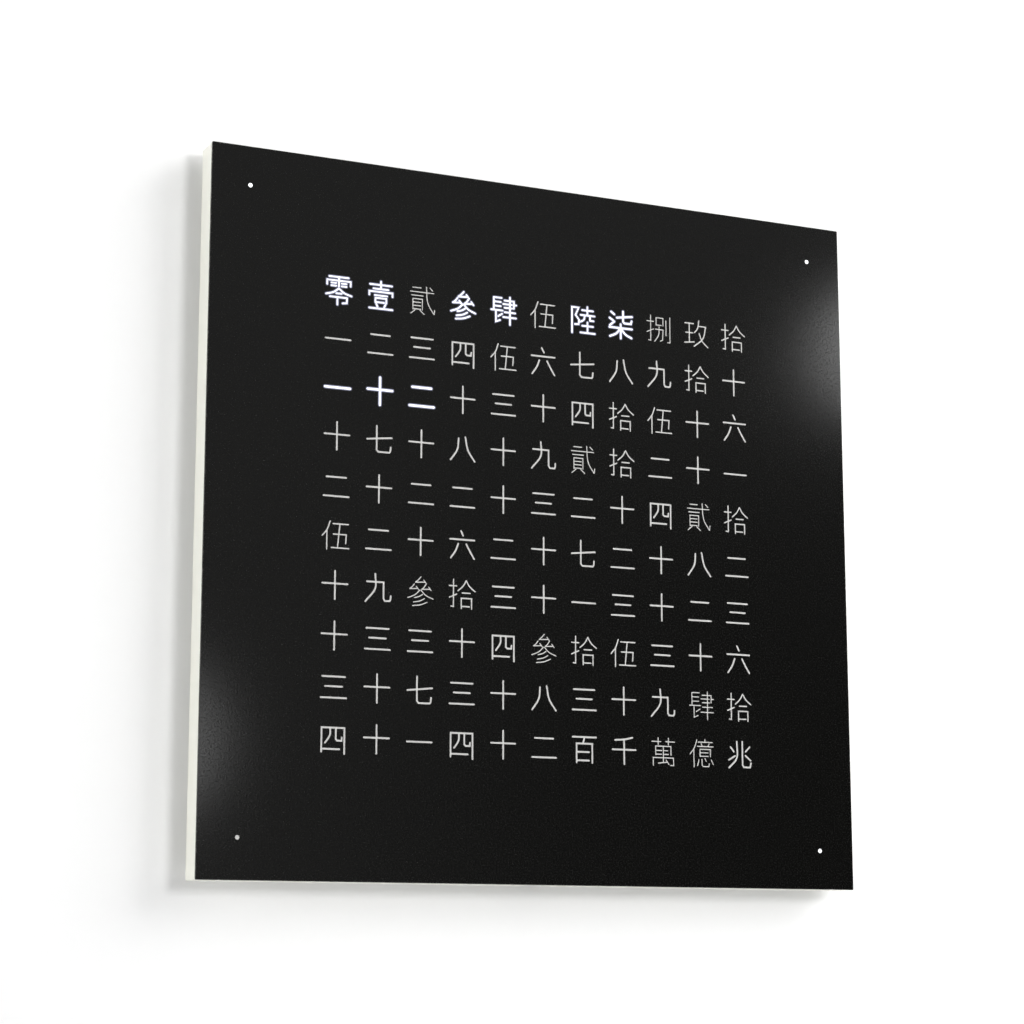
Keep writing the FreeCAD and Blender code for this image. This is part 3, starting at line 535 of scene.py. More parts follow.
def phosphor(name, strength):
    """The yellow window of a light source, lit or not."""
    window = Finish(name)
    grain = window.noise(0.25 * MM)
    base = window.blend(grain, opaque(linear(226, 196, 84)), opaque(linear(244, 222, 128)))
    return window.surface(
        Base_Color=base,
        Roughness=0.4 + grain * 0.2,
        Normal=window.bump(grain, 0.02 * MM),
        Emission_Color=window.blend(grain, (0.95, 0.96, 1.0, 1.0), (1.0, 1.0, 1.0, 1.0)),
        Emission_Strength=strength)


# Shapes


class Shape:
    """Points and faces of one mesh."""

    def __init__(self):
        self.points = []
        self.faces = []

    def ring(self, outline, y):
        """Adds the points of a flat outline (x, z) at depth y and gives their numbers."""
        start = len(self.points)
        self.points.extend((x, y, z) for x, z in outline)
        return list(range(start, len(self.points)))

    def skin(self, first, second):
        """Quads between two rings of as many points, facing outwards when second lies behind first."""
        for here in range(len(first)):
            after = (here + 1) % len(first)
            self.faces.append((first[after], first[here], second[here], second[after]))

    def flat_between(self, outer, inner, y):
        """A flat face from one outline to another inside it, seen from the front. Gives both rings."""
        rings = [self.ring(outer, y), self.ring(inner, y)]
        points, triangles, owners = cut_flat([outer, inner])
        numbers = [rings[0][0] + place for place in range(len(points))]
        for triangle, owner in zip(triangles, owners):
            if 1 not in owner:
                self.faces.append(tuple(numbers[corner] for corner in triangle))
        return rings

    def mesh(self, name):
        """The finished mesh, its doubles merged, its faces outwards and its corners kept sharp."""
        made = bpy.data.meshes.new(name)
        made.from_pydata(self.points, [], self.faces)
        work = bmesh.new()
        work.from_mesh(made)
        bmesh.ops.remove_doubles(work, verts=work.verts, dist=MESH_SNAP)
        bmesh.ops.recalc_face_normals(work, faces=work.faces)
        out = work.verts.layers.float.new("out")
        for vertex in work.verts:
            vertex[out] = math.hypot(vertex.co.x, vertex.co.z)
        for face in work.faces:
            face.smooth = True
        work.to_mesh(made)
        work.free()
        made.set_sharp_from_angle(angle=SMOOTH_ANGLE)
        return made


def cut_flat(outlines):
    """Triangles of overlapping flat outlines, with the outlines that hold each triangle. The points keep the
    order in which they're given, and crossings come after them."""
    points = [Vector(point) / MM for outline in outlines for point in outline]
    faces, start = [], 0
    for outline in outlines:
        faces.append(list(range(start, start + len(outline))))
        start += len(outline)
    made, _, triangles, origins, _, owners = delaunay_2d_cdt(points, [], faces, 1, 1e-5)
    numbers = [min(origin) if origin else None for origin in origins]
    free = start
    for place, number in enumerate(numbers):
        if number is None:
            numbers[place] = free
            free += 1
    ordered = [None] * free
    for place, number in enumerate(numbers):
        ordered[number] = made[place] * MM
    for number, point in enumerate(ordered):
        if point is None:
            ordered[number] = points[number] * MM
    return ordered, [tuple(numbers[corner] for corner in triangle) for triangle in triangles], owners


def circle(radius, sides):
    """A circle's outline, counter-clockwise from the front."""
    return [(radius * math.cos(math.tau * turn / sides), radius * math.sin(math.tau * turn / sides))
            for turn in range(sides)]


def rounded_square(half, radius, steps=4):
    """A square outline, counter-clockwise from the front, with rounded corners."""
    outline = []
    for quarter in range(4):
        middle = math.radians(45.0 + 90.0 * quarter)
        centre = (half - radius) * math.sqrt(2.0)
        for step in range(steps + 1):
            turn = middle + math.radians(-45.0 + 90.0 * step / steps)
            outline.append((centre * math.cos(middle) + radius * math.cos(turn),
                            centre * math.sin(middle) + radius * math.sin(turn)))
    return outline


def turned(name, profile, sides):
    """A closed piece turned about Y from (radius, y) pairs that start and end on the axis."""
    shape = Shape()
    rings = [shape.ring(circle(max(radius, 0.0), sides), y) for radius, y in profile]
    for first, second in zip(rings, rings[1:]):
        shape.skin(first, second)
    return shape.mesh(name)


def stood_up(mesh, centre):
    """Turns a mesh that was made about Y upright, with its axis through centre."""
    place = Matrix.Translation((centre.x, centre.y, 0.0))
    mesh.transform(place @ Matrix.Rotation(math.pi / 2.0, 4, "X"))
    return mesh


def cross_outline(arm, width):
    """A cross of two bars, counter-clockwise from the front."""
    half = width / 2.0
    quarter = [(arm, -half), (arm, half), (half, half)]
    outline = []
    for turn in range(4):
        for x, z in quarter:
            for _ in range(turn):
                x, z = -z, x
            outline.append((x, z))
    return outline


def screw(name, flat, profile, tip, sides=32):
    """A screw along Y with a cross recess in the flat of its head at y 0, and the turned side of profile."""
    shape = Shape()
    arm, width, depth = flat * 0.72, flat * 0.24, flat * 0.85
    rim, slot = shape.flat_between(circle(flat, sides), cross_outline(arm, width), 0.0)
    floor = shape.ring(cross_outline(arm * 0.5, width * 0.7), depth)
    shape.skin(slot, floor)
    shape.faces.append(tuple(reversed(floor)))
    before = rim
    for radius, y in profile:
        ring = shape.ring(circle(radius, sides), y)
        shape.skin(before, ring)
        before = ring
    shape.points.append((0.0, tip, 0.0))
    point = len(shape.points) - 1
    for here in range(sides):
        shape.faces.append((before[(here + 1) % sides], before[here], point))
    return shape.mesh(name)


# Numerals and the plate's cells


def dial_text():
    """The numerals of the dial: the formal digits, the numbers in order, then the large units."""
    text = FORMAL
    for number in range(1, LAST_NUMBER + 1):
        digits = FORMAL if number % 5 == 0 else PLAIN
        tens, units = divmod(number, 10)
        text += digits[tens] if tens > 1 else ""
        text += digits[10] if tens else ""
        text += digits[units] if units else ""
    return text + LARGE


def curved(line, steps=5):
    """Points of a smooth curve through a few given ones."""
    ends = [line[0] * 2 - line[1], *line, line[-1] * 2 - line[-2]]
    made = []
    for a, b, c, d in zip(ends, ends[1:], ends[2:], ends[3:]):
        for step in range(steps):
            t = step / steps
            made.append(0.5 * (2 * b + (c - a) * t + (2 * a - 5 * b + 4 * c - d) * t ** 2
                               + (3 * b - a - 3 * c + d) * t ** 3))
    return made + [line[-1]]


def stroke_lines(numeral, height):
    """Centre lines of a numeral's strokes about the middle of its cell."""
    unit = height / GRID_UNITS
    lines = []
    for part in STROKES[numeral].split("/"):
        words = part.strip().lstrip("~").split()
        line = [(Vector(map(float, word.split(","))) - Vector((GRID_UNITS, GRID_UNITS)) / 2) * unit
                for word in words]
        lines.append(curved(line) if part.strip().startswith("~") else line)
    return lines


LONGEST_MITRE = 0.62  # cosine of half the turn at a corner, past which its mitre grows no more


def round_ended(line, half, cap_steps=5):
    """Outline of a stroke, counter-clockwise from the front, with round ends and mitred corners."""
    left, right = [], []
    for here, point in enumerate(line):
        ahead = (line[here + 1] - point if here + 1 < len(line) else point - line[here - 1]).normalized()
        behind = (point - line[here - 1] if here else ahead).normalized()
        middle = (ahead + behind).normalized()
        across = Vector((-middle.y, middle.x)) * half / max(middle.dot(ahead), LONGEST_MITRE)
        left.append(point + across)
        right.append(point - across)

    def cap(point, way):
        side = Vector((way.y, -way.x))
        turns = [math.pi * step / cap_steps for step in range(1, cap_steps)]
        return [point + (side * math.cos(turn) + way * math.sin(turn)) * half for turn in turns]

    far = cap(line[-1], (line[-1] - line[-2]).normalized())
    near = cap(line[0], (line[0] - line[1]).normalized())
    return [tuple(point) for point in right + far + left[::-1] + near]


def stroke_width(numeral, sizes):
    """The more strokes a numeral has, the thinner they are."""
    if numeral in DENSE:
        return sizes.dense_stroke
    return sizes.middling_stroke if numeral in MIDDLING else sizes.plain_stroke


def distance_to(lines, point):
    """Distance from a point to the nearest of some lines of points."""
    nearest = 1.0
    for line in lines:
        for start, end in zip(line, line[1:]):
            along = end - start
            share = min(max((point - start).dot(along) / along.length_squared, 0.0), 1.0)
            nearest = min(nearest, (point - start - along * share).length)
    return nearest


def slab(points, triangles, chosen, opened, front, back):
    """A plate made of the chosen triangles, with a wall wherever one borders an opened triangle."""
    shape = Shape()
    faces_of = {}
    for number, triangle in enumerate(triangles):
        for here in range(3):
            faces_of[(triangle[here], triangle[(here + 1) % 3])] = number
    fronts = shape.ring([tuple(point) for point in points], front)
    backs = shape.ring([tuple(point) for point in points], back)
    for number, (a, b, c) in enumerate(triangles):
        if not chosen[number]:
            continue
        shape.faces.append((fronts[a], fronts[b], fronts[c]))
        shape.faces.append((backs[c], backs[b], backs[a]))
        for start, end in ((a, b), (b, c), (c, a)):
            beside = faces_of.get((end, start))
            if beside is not None and opened[beside]:
                shape.faces.append((fronts[end], fronts[start], backs[start], backs[end]))
    return shape


def flat_mesh(name, shape):
    """The mesh of a slab, with flat faces and without unused points."""
    made = bpy.data.meshes.new(name)
    made.from_pydata(shape.points, [], shape.faces)
    work = bmesh.new()
    work.from_mesh(made)
    bmesh.ops.delete(work, geom=[vertex for vertex in work.verts if not vertex.link_faces], context="VERTS")
    work.to_mesh(made)
    work.free()
    return made


def pitches(sizes):
    """Width and height of a cell of the field."""
    return FIELD_SIDE / sizes.columns, FIELD_SIDE / sizes.rows


def numeral_pieces(numeral, lit, sizes):
    """The cell of the plate with a numeral cut out of it, and the resin in the cut."""
    lines = stroke_lines(numeral, sizes.numeral_height)
    half = stroke_width(numeral, sizes) / 2.0
    wide, high = (pitch / 2.0 for pitch in pitches(sizes))
    cell = [(-wide, -high), (wide, -high), (wide, high), (-wide, high)]
    strokes = [round_ended(line, half) for line in lines]
    halos = [round_ended(line, half + sizes.halo) for line in lines] if lit else []
    points, triangles, owners = cut_flat([cell, *strokes, *halos])
    inked = [any(1 <= owner <= len(strokes) for owner in held) for held in owners]
    solid = [not cut for cut in inked]
    tile = flat_mesh("tile", slab(points, triangles, solid, inked, PLATE_FRONT, PLATE_BACK))
    glow = tile.attributes.new("glow", "FLOAT", "POINT")
    # The glow values paint a halo of light onto the coat beside each lit stroke, fading over the halo's
    # width: a painted glow.
    if lit:
        for vertex, held in zip(tile.vertices, glow.data):
            if vertex.co.y < (PLATE_FRONT + PLATE_BACK) / 2.0:
                past = distance_to(lines, vertex.co.xz) - half
                held.value = min(max(1.0 - past / sizes.halo, 0.0), 1.0)
    resin = slab(points, triangles, inked, solid, PLATE_FRONT + sizes.resin_drop, PLATE_BACK)
    return tile, flat_mesh("resin", resin)


def surround_mesh(sizes):
    """The plate round the field of numerals, with the dot holes and a rounded front edge."""
    wide, high = pitches(sizes)
    half = FIELD_SIDE / 2.0
    field = [(-half + wide * step, -half) for step in range(sizes.columns)]
    field += [(half, -half + high * step) for step in range(sizes.rows)]
    field += [(half - wide * step, half) for step in range(sizes.columns)]
    field += [(-half, half - high * step) for step in range(sizes.rows)]
    reach = dot_reach()
    hole = sizes.dot_width / 2.0 + 0.03 * MM
    holes = [[(x + reach * side_x, z + reach * side_z) for x, z in circle(hole, 32)]
             for side_x in (-1, 1) for side_z in (-1, 1)]
    inset = sizes.plate_round
    outlines = {step: rounded_square(PLATE_HALF - step, sizes.plate_corner - step)
                for step in (inset, inset * 0.3, 0.0)}
    points, triangles, owners = cut_flat([outlines[inset], field, *holes])
    chosen = [held == [0] for held in owners]
    opened = [any(owner > 1 for owner in held) for held in owners]
    shape = slab(points, triangles, chosen, opened, PLATE_FRONT, PLATE_BACK)
    rings = [shape.ring(outlines[step], y) for step, y in (
        (inset, PLATE_FRONT), (inset * 0.3, PLATE_FRONT + inset * 0.3), (0.0, PLATE_FRONT + inset),
        (0.0, PLATE_BACK), (inset, PLATE_BACK))]
    for first, second in zip(rings, rings[1:]):
        shape.skin(first, second)
    return flat_mesh("surround", shape)


def dot_reach():
    """How far the minute dots stand from the middle, both ways."""
    return max((low.x + high.x) / 2.0 for low, high in islands("minute_dot_plugs"))


def islands(node):
    """Lowest and highest corner of each separate solid of a node, from a merged copy of its mesh."""
    work = bmesh.new()
    work.from_mesh(frame["nodes"][node].data)
    bmesh.ops.remove_doubles(work, verts=work.verts, dist=MESH_SNAP)
    seen, boxes = set(), []
    for first in work.verts:
        if first in seen:
            continue
        seen.add(first)
        waiting, corners = [first], []
        while waiting:
            vertex = waiting.pop()
            corners.append(vertex.co.copy())
            for edge in vertex.link_edges:
                beside = edge.other_vert(vertex)
                if beside not in seen:
                    seen.add(beside)
                    waiting.append(beside)
        boxes.append((Vector(map(min, *corners)), Vector(map(max, *corners))))
    work.free()
    return boxes


# Repeats by Geometry Nodes


def repeat_tree(name, inputs):
    """An empty Geometry Nodes tree with named inputs, and the wires of those inputs."""
    tree = bpy.data.node_groups.new(name, "GeometryNodeTree")
    tree.interface.new_socket("Geometry", in_out="INPUT", socket_type="NodeSocketGeometry")
    for label, kind in inputs:
        tree.interface.new_socket(label, in_out="INPUT", socket_type="NodeSocket" + kind)
    tree.interface.new_socket("Geometry", in_out="OUTPUT", socket_type="NodeSocketGeometry")
    net = Net(tree)
    return net, net.node("NodeGroupInput")


def end_repeat(net, instances, given, weld=None):
    """Real faces instead of instances, welded if asked, with the finish set."""
    shapes = net.node("GeometryNodeRealizeInstances", None, {"Geometry": instances})
    if weld is not None:
        shapes = net.node("GeometryNodeMergeByDistance", None, {"Geometry": shapes, "Distance": weld})
    finished = net.node(
        "GeometryNodeSetMaterial", None, {"Geometry": shapes, "Material": given.other("Finish")})
    net.node("NodeGroupOutput", None, {0: finished})
    return net.tree


def dial_tree():
    """One cell piece on each point of a grid. The base mesh says which piece each cell takes, -1 for none."""
    net, given = repeat_tree("dial_cells", [
        ("Columns", "Int"), ("Rows", "Int"), ("Column pitch", "Float"), ("Row pitch", "Float"),
        ("Cell pieces", "Collection"), ("Surround", "Object"), ("Weld", "Float"), ("Finish", "Material")])
    columns, rows = given.other("Columns"), given.other("Rows")
    index = net.node("GeometryNodeInputIndex")
    row = ((index + 0.5) / columns).math("FLOOR")
    column = index - row * columns
    across = (column - (columns - 1.0) / 2.0) * given.other("Column pitch")
    up = ((rows - 1.0) / 2.0 - row) * given.other("Row pitch")
    place = net.node("ShaderNodeCombineXYZ", sockets={0: across, 2: up})
    points = net.node("GeometryNodeSetPosition", None, {"Geometry": given, "Position": place})
    piece = net.node("GeometryNodeInputNamedAttribute", {"data_type": "INT"}, {"Name": "piece"})
    pieces = net.node(
        "GeometryNodeCollectionInfo", None,
        {"Collection": given.other("Cell pieces"), "Separate Children": True, "Reset Children": True})
    cells = net.node(
        "GeometryNodeInstanceOnPoints", None,
        {"Points": points, "Selection": piece.math("GREATER_THAN", -0.5), "Instance": pieces,
         "Pick Instance": True, "Instance Index": piece})
    surround = net.node("GeometryNodeObjectInfo", None, {"Object": given.other("Surround")}, "Geometry")
    joined = net.node("GeometryNodeJoinGeometry", None, {0: [cells, surround]})
    return end_repeat(net, joined, given, given.other("Weld"))


def fixing_tree():
    """One piece on each point, turned about Y by a random angle."""
    net, given = repeat_tree("like_pieces", [
        ("Piece", "Object"), ("Size", "Float"), ("Largest turn", "Float"), ("Seed", "Int"),
        ("Finish", "Material")])
    turn = net.node(
        "FunctionNodeRandomValue", {"data_type": "FLOAT"},
        {"Min": 0.0, "Max": given.other("Largest turn"), "Seed": given.other("Seed")}, output=1)
    piece = net.node("GeometryNodeObjectInfo", None, {"Object": given.other("Piece")}, "Geometry")
    pieces = net.node(
        "GeometryNodeInstanceOnPoints", None,
        {"Points": given, "Instance": piece, "Scale": given.other("Size"),
         "Rotation": net.node("ShaderNodeCombineXYZ", sockets={1: turn})})
    return end_repeat(net, pieces, given)


def shown(name, mesh, body, nodes=()):
    """Puts a finished mesh in the scene, on its body, in place of the nodes it stands for."""
    piece = bpy.data.objects.new(name, mesh)
    bpy.context.scene.collection.objects.link(piece)
    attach(piece, body)
    if nodes:
        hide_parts(*nodes)
    return piece


def repeated(name, tree, points, inputs, attributes=None):
    """The plain mesh that a tree makes on some points."""
    base = bpy.data.meshes.new(name)
    base.from_pydata(points, [], [])
    for label, values in (attributes or {}).items():
        base.attributes.new(label, "INT", "POINT").data.foreach_set("value", values)
    holder = bpy.data.objects.new(name + "_points", base)
    bpy.context.scene.collection.objects.link(holder)
    modifier = holder.modifiers.new("Repeat", "NODES")
    modifier.node_group = tree
    for item in tree.interface.items_tree:
        if item.in_out == "INPUT" and item.name in inputs:
            modifier[item.identifier] = inputs[item.name]
    graph = bpy.context.evaluated_depsgraph_get()
    made = bpy.data.meshes.new_from_object(
        holder.evaluated_get(graph), preserve_all_data_layers=True, depsgraph=graph)
    made.name = name
    bpy.data.objects.remove(holder)
    if not made.polygons:
        raise RuntimeError(f"{name} came out empty")
    return made


def spare(name, mesh):
    """An object that only a tree uses, outside the scene."""
    return bpy.data.objects.new(name, mesh)


def fixings(name, mesh, points, finish, body, nodes, seed=0):
    """Like pieces at some points, as one mesh, turned at random when there is a seed."""
    piece = spare(name + "_shape", mesh)
    made = repeated(name, bpy.data.node_groups["like_pieces"], points, {
        "Piece": piece, "Size": 1.0, "Largest turn": math.tau if seed else 0.0, "Seed": seed,
        "Finish": finish})
    bpy.data.objects.remove(piece)
    return shown(name, made, body, nodes)


def end_points(node, back=False):
    """The middle of the front or the back of each solid of a node."""
    return [((low.x + high.x) / 2.0, (high if back else low).y, (low.z + high.z) / 2.0)
            for low, high in islands(node)]


def width_of(node, sides=None):
    """Width of a node's first solid. With sides, that of the circle round it, where the solid is a polygon
    with flats on the axes."""
    low, high = islands(node)[0]
    return (high.x - low.x) / (math.cos(math.pi / sides) if sides else 1.0)


def painted(mesh, finish):
    """The mesh with this finish alone."""
    mesh.materials.clear()
    mesh.materials.append(finish)
    return mesh


# Operators, one for each piece or group of like pieces


class WORDCLOCK_OT_repeat_trees(bpy.types.Operator):
    """Makes the two trees that repeat the dial's cells and the fixings"""

    bl_idname = "word_clock.repeat_trees"
    bl_label = "Repeat trees"

    def execute(self, context):
        dial_tree()
        fixing_tree()
        return {"FINISHED"}


class WORDCLOCK_OT_dial(bpy.types.Operator):
    """Makes the face plate with the numerals cut out of it, and the lit and unlit resin in the cuts"""

    bl_idname = "word_clock.dial"
    bl_label = "Dial"

    def execute(self, context):
        sizes, colours = context.scene.word_clock_dial, context.scene.word_clock_colours
        text = dial_text()
        cells = [(row, column) for row in range(sizes.rows) for column in range(sizes.columns)]
        wanted = [(text[number % len(text)], cell in LIT_CELLS) for number, cell in enumerate(cells)]
        kinds = sorted(set(wanted))
        groups = {name: bpy.data.collections.new(name) for name in ("cell_tiles", "cell_resin")}
        for number, (numeral, lit) in enumerate(kinds):
            meshes = numeral_pieces(numeral, lit, sizes)
            for (name, group), mesh in zip(groups.items(), meshes):
                group.objects.link(spare(f"{name}_{number:03d}", mesh))
        surround = spare("plate_surround", surround_mesh(sizes))
        numbers = [kinds.index(kind) for kind in wanted]
        wide, high = pitches(sizes)
        common = {
            "Columns": sizes.columns, "Rows": sizes.rows, "Column pitch": wide, "Row pitch": high,
            "Weld": 2.0 * MESH_SNAP}
        points = [(0.0, 0.0, 0.0)] * len(cells)
        made = (
            ("face_plate_cut", "black_steel", groups["cell_tiles"], surround, powder_coat(colours), None),
            ("unlit_numerals", "opal_plastic", groups["cell_resin"], None, unlit_resin(colours), False),
            ("lit_numerals", "opal_plastic", groups["cell_resin"], None, lit_resin(colours), True))
        for name, slot, group, rim, finish, lit in made:
            picked = [number if lit is None or kind[1] == lit else -1
                      for number, kind in zip(numbers, wanted)]
            mesh = repeated(
                name, bpy.data.node_groups["dial_cells"], points,
                {**common, "Cell pieces": group, "Surround": rim, "Finish": finish}, {"piece": picked})
            shown(name, mesh, "cover", ["face_plate"] if lit is None else [])
        for group in groups.values():
            for piece in list(group.objects):
                bpy.data.objects.remove(piece)
            bpy.data.collections.remove(group)
        bpy.data.objects.remove(surround)
        return {"FINISHED"}


def lit_corner(point):
    """Whether the minute dot of a point's corner is lit. All are but the one at the lower left."""
    return point[0] > 0.0 or point[2] > 0.0


class WORDCLOCK_OT_minute_dots(bpy.types.Operator):
    """Makes the four flanged plugs of the minute dots, three of them lit"""

    bl_idname = "word_clock.minute_dots"
    bl_label = "Minute dots"

    def execute(self, context):
        sizes = context.scene.word_clock_dial
        low, high = islands("minute_dot_plugs")[0]
        pin, flange = sizes.dot_width / 2.0, width_of("minute_dot_plugs", 12) / 2.0
        thick, seam = high.y - low.y, PLATE_BACK - low.y
        edge = 0.12 * MM
        mesh = turned("dot_plug", [
            (0.0, 0.03 * MM), (pin - edge, 0.04 * MM), (pin - edge * 0.3, 0.07 * MM), (pin, 0.04 * MM + edge),
            (pin, seam), (flange - edge, seam), (flange, seam + edge), (flange, thick - edge),
            (flange - edge, thick), (0.0, thick)], sides=32)
        points = end_points("minute_dot_plugs")
        unlit = [point for point in points if not lit_corner(point)]
        lit = [point for point in points if lit_corner(point)]
        for name, places, finish in (
                ("unlit_minute_dot", unlit, bpy.data.materials["unlit_resin"]),
                ("lit_minute_dots", lit, bpy.data.materials["lit_resin"])):
            fixings(name, mesh, places, finish, "cover", ["minute_dot_plugs"])
        return {"FINISHED"}


class WORDCLOCK_OT_discs(bpy.types.Operator):
    """Makes the steel discs behind the plate and the magnets that hold them"""

    bl_idname = "word_clock.discs"
    bl_label = "Discs and magnets"

    def execute(self, context):
        for name, node, body, slot, finish in (
                ("steel_discs", "cover_studs", "cover", "bright_steel",
                 lathe_turned("turned_steel", RECORD_COLOUR["bright_steel"], 0.24)),
                ("disc_magnets", "cover_magnets", "casing_assembly", "plated_magnet",
                 lathe_turned("nickel_plate", RECORD_COLOUR["plated_magnet"], 0.14, 0.9 * MM))):
            low, high = islands(node)[0]
            half, thick, edge = width_of(node, 12) / 2.0, high.y - low.y, 0.3 * MM
            mesh = turned(name + "_shape", [
                (0.0, 0.0), (half - edge, 0.0), (half - edge * 0.3, edge * 0.3), (half, edge),
                (half, thick - edge), (half - edge * 0.3, thick - edge * 0.3), (half - edge, thick),
                (0.0, thick)], sides=40)
            fixings(name, mesh, end_points(node), finish, body, [node])
        return {"FINISHED"}


class WORDCLOCK_OT_screws(bpy.types.Operator):
    """Makes the screws of the light grid, the hangers and the service lid"""

    bl_idname = "word_clock.screws"
    bl_label = "Screws"

    def execute(self, context):
        finish = lathe_turned("screw_steel", RECORD_COLOUR["bright_steel"], 0.22, 0.25 * MM)
        low, high = islands("grid_screws")[0]
        half, long = width_of("grid_screws", 8) / 2.0, high.y - low.y
        head, shank = 2.0 * MM, 1.5 * MM
        pan = screw("pan_screw", half * 0.66, [
            (half * 0.82, head * 0.1), (half * 0.94, head * 0.3), (half, head * 0.62), (half, head),
            (shank, head), (shank, long - shank)], long)
        fixings("grid_pan_screws", pan, end_points("grid_screws"), finish, "casing_assembly",
                ["grid_screws"], seed=3)
        for name, node, shank, seed in (
                ("hanger_screws", "keyhole_screws", 1.4 * MM, 5),
                ("service_lid_screws", "lid_screws", 1.25 * MM, 8)):
            low, high = islands(node)[0]
            half, long = width_of(node) / 2.0, high.y - low.y
            sunk, lip = 0.08 * MM, 0.12 * MM
            flat = screw(name + "_shape", half - lip, [
                (half, lip), (shank, lip + half - shank), (shank, long - shank)], long - sunk)
            flat.transform(Matrix.Rotation(math.pi, 4, "Z"))
            points = [(x, y - sunk, z) for x, y, z in end_points(node, back=True)]
            fixings(name, flat, points, finish, "casing_assembly", [node], seed=seed)
        return {"FINISHED"}


CUP_DEPTH = 0.4  # of a light source's package


def source_body(half, depth):
    """The package of a light source: a square body with a round, sloping cup in its front."""
    shape = Shape()
    rim, cup = shape.flat_between(rounded_square(half, half * 0.12, 1), circle(half * 0.78, 12), 0.0)
    floor = shape.ring(circle(half * 0.66, 12), depth * CUP_DEPTH)
    shape.skin(cup, floor)
    shape.faces.append(tuple(floor))
    back = shape.ring(rounded_square(half, half * 0.12, 1), depth)
    shape.skin(rim, back)
    shape.faces.append(tuple(reversed(back)))
    return shape.mesh("source_body")


class WORDCLOCK_OT_light_sources(bpy.types.Operator):
    """Makes the packages of the light sources and their lit and unlit windows"""

    bl_idname = "word_clock.light_sources"
    bl_label = "Light sources"

    def execute(self, context):
        sizes = context.scene.word_clock_dial
        body_finish = moulded("source_body", RECORD_COLOUR["light_package"], 0.3 * MM, 0.35, 0.01 * MM)
        windows = {lit: phosphor("lit_phosphor" if lit else "phosphor", 1.1 if lit else 0.0)
                   for lit in (True, False)}
        for kind, node in (("numeral", "light_sources"), ("minute", "minute_lights")):
            low, high = islands(node)[0]
            half, depth = (high.x - low.x) / 2.0, high.y - low.y
            points = end_points(node)
            fixings(f"{kind}_light_bodies", source_body(half, depth), points, body_finish,
                    "casing_assembly", [node])
            floor = depth * CUP_DEPTH
            window = turned("source_window", [
                (0.0, floor * 0.45), (half * 0.4, floor * 0.55), (half * 0.62, floor * 0.9),
                (half * 0.64, floor), (0.0, floor)], sides=12)
            for lit in (True, False):
                places = [point for point in points if self.is_lit(kind, point, sizes) == lit]
                name = f"{kind}_light_windows_{'lit' if lit else 'unlit'}"
                fixings(name, window, places, windows[lit], "casing_assembly", [])
        return {"FINISHED"}

    @staticmethod
    def is_lit(kind, point, sizes):
        if kind == "minute":
            return lit_corner(point)
        wide, high = pitches(sizes)
        column = round(point[0] / wide + (sizes.columns - 1) / 2.0)
        row = round((sizes.rows - 1) / 2.0 - point[2] / high)
        return (row, column) in LIT_CELLS


class WORDCLOCK_OT_buttons(bpy.types.Operator):
    """Makes the three setting buttons in the bottom edge"""

    bl_idname = "word_clock.buttons"
    bl_label = "Buttons"

    def execute(self, context):
        finish = moulded("button_plastic", RECORD_COLOUR["button_cream"], 0.3 * MM, 0.32, 0.012 * MM)
        for node in ("mode_button", "plus_button", "minus_button"):
            mesh = painted(self.button(node), finish)
            shown(node + "_turned", mesh, node, [node])
        return {"FINISHED"}

    @staticmethod
    def button(node):
        """A turned button with a softly dished end, from the radii and levels of its node."""
        low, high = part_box(node)
        centre = (low + high) / 2.0
        rings = {}
        for vertex in frame["nodes"][node].data.vertices:
            out = math.hypot(vertex.co.x - centre.x, vertex.co.y - centre.y)
            rings.setdefault(round(vertex.co.z, 5), []).append(out)
        tip, edge, under, over, top = sorted(rings)
        fit = 0.99
        shaft, stem = fit * max(rings[edge]), fit * max(rings[top])
        flange = (high.x - low.x) / 2.0
        bevel = edge - tip
        side = [
            (0.0, tip + bevel * 0.5), (shaft * 0.45, tip + bevel * 0.36), (shaft * 0.72, tip + bevel * 0.06),
            (shaft - bevel, tip), (shaft - bevel * 0.5, tip + bevel * 0.13),
            (shaft - bevel * 0.13, tip + bevel * 0.5), (shaft, edge), (shaft, under), (flange, under),
            (flange, over), (stem, over), (stem, top), (0.0, top)]
        return stood_up(turned(node + "_shape", side, sides=48), centre)


class WORDCLOCK_OT_light_pipe(bpy.types.Operator):
    """Makes the clear rod that leads room light to the sensor"""

    bl_idname = "word_clock.light_pipe"
    bl_label = "Light pipe"

    def execute(self, context):
        low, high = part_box("light_pipe")
        centre, half = (low + high) / 2.0, (high.x - low.x) / 2.0
        dome = 0.35 * MM
        mesh = turned("light_pipe_shape", [
            (0.0, low.z), (half * 0.6, low.z + dome * 0.3), (half * 0.92, low.z + dome),
            (half, low.z + dome * 2.0), (half, high.z - dome), (half - dome * 0.5, high.z),
            (0.0, high.z)], sides=32)
        mesh = painted(stood_up(mesh, centre), clear_rod("clear_acrylic"))
        shown("light_pipe_rod", mesh, "casing_assembly", ["light_pipe"])
        return {"FINISHED"}


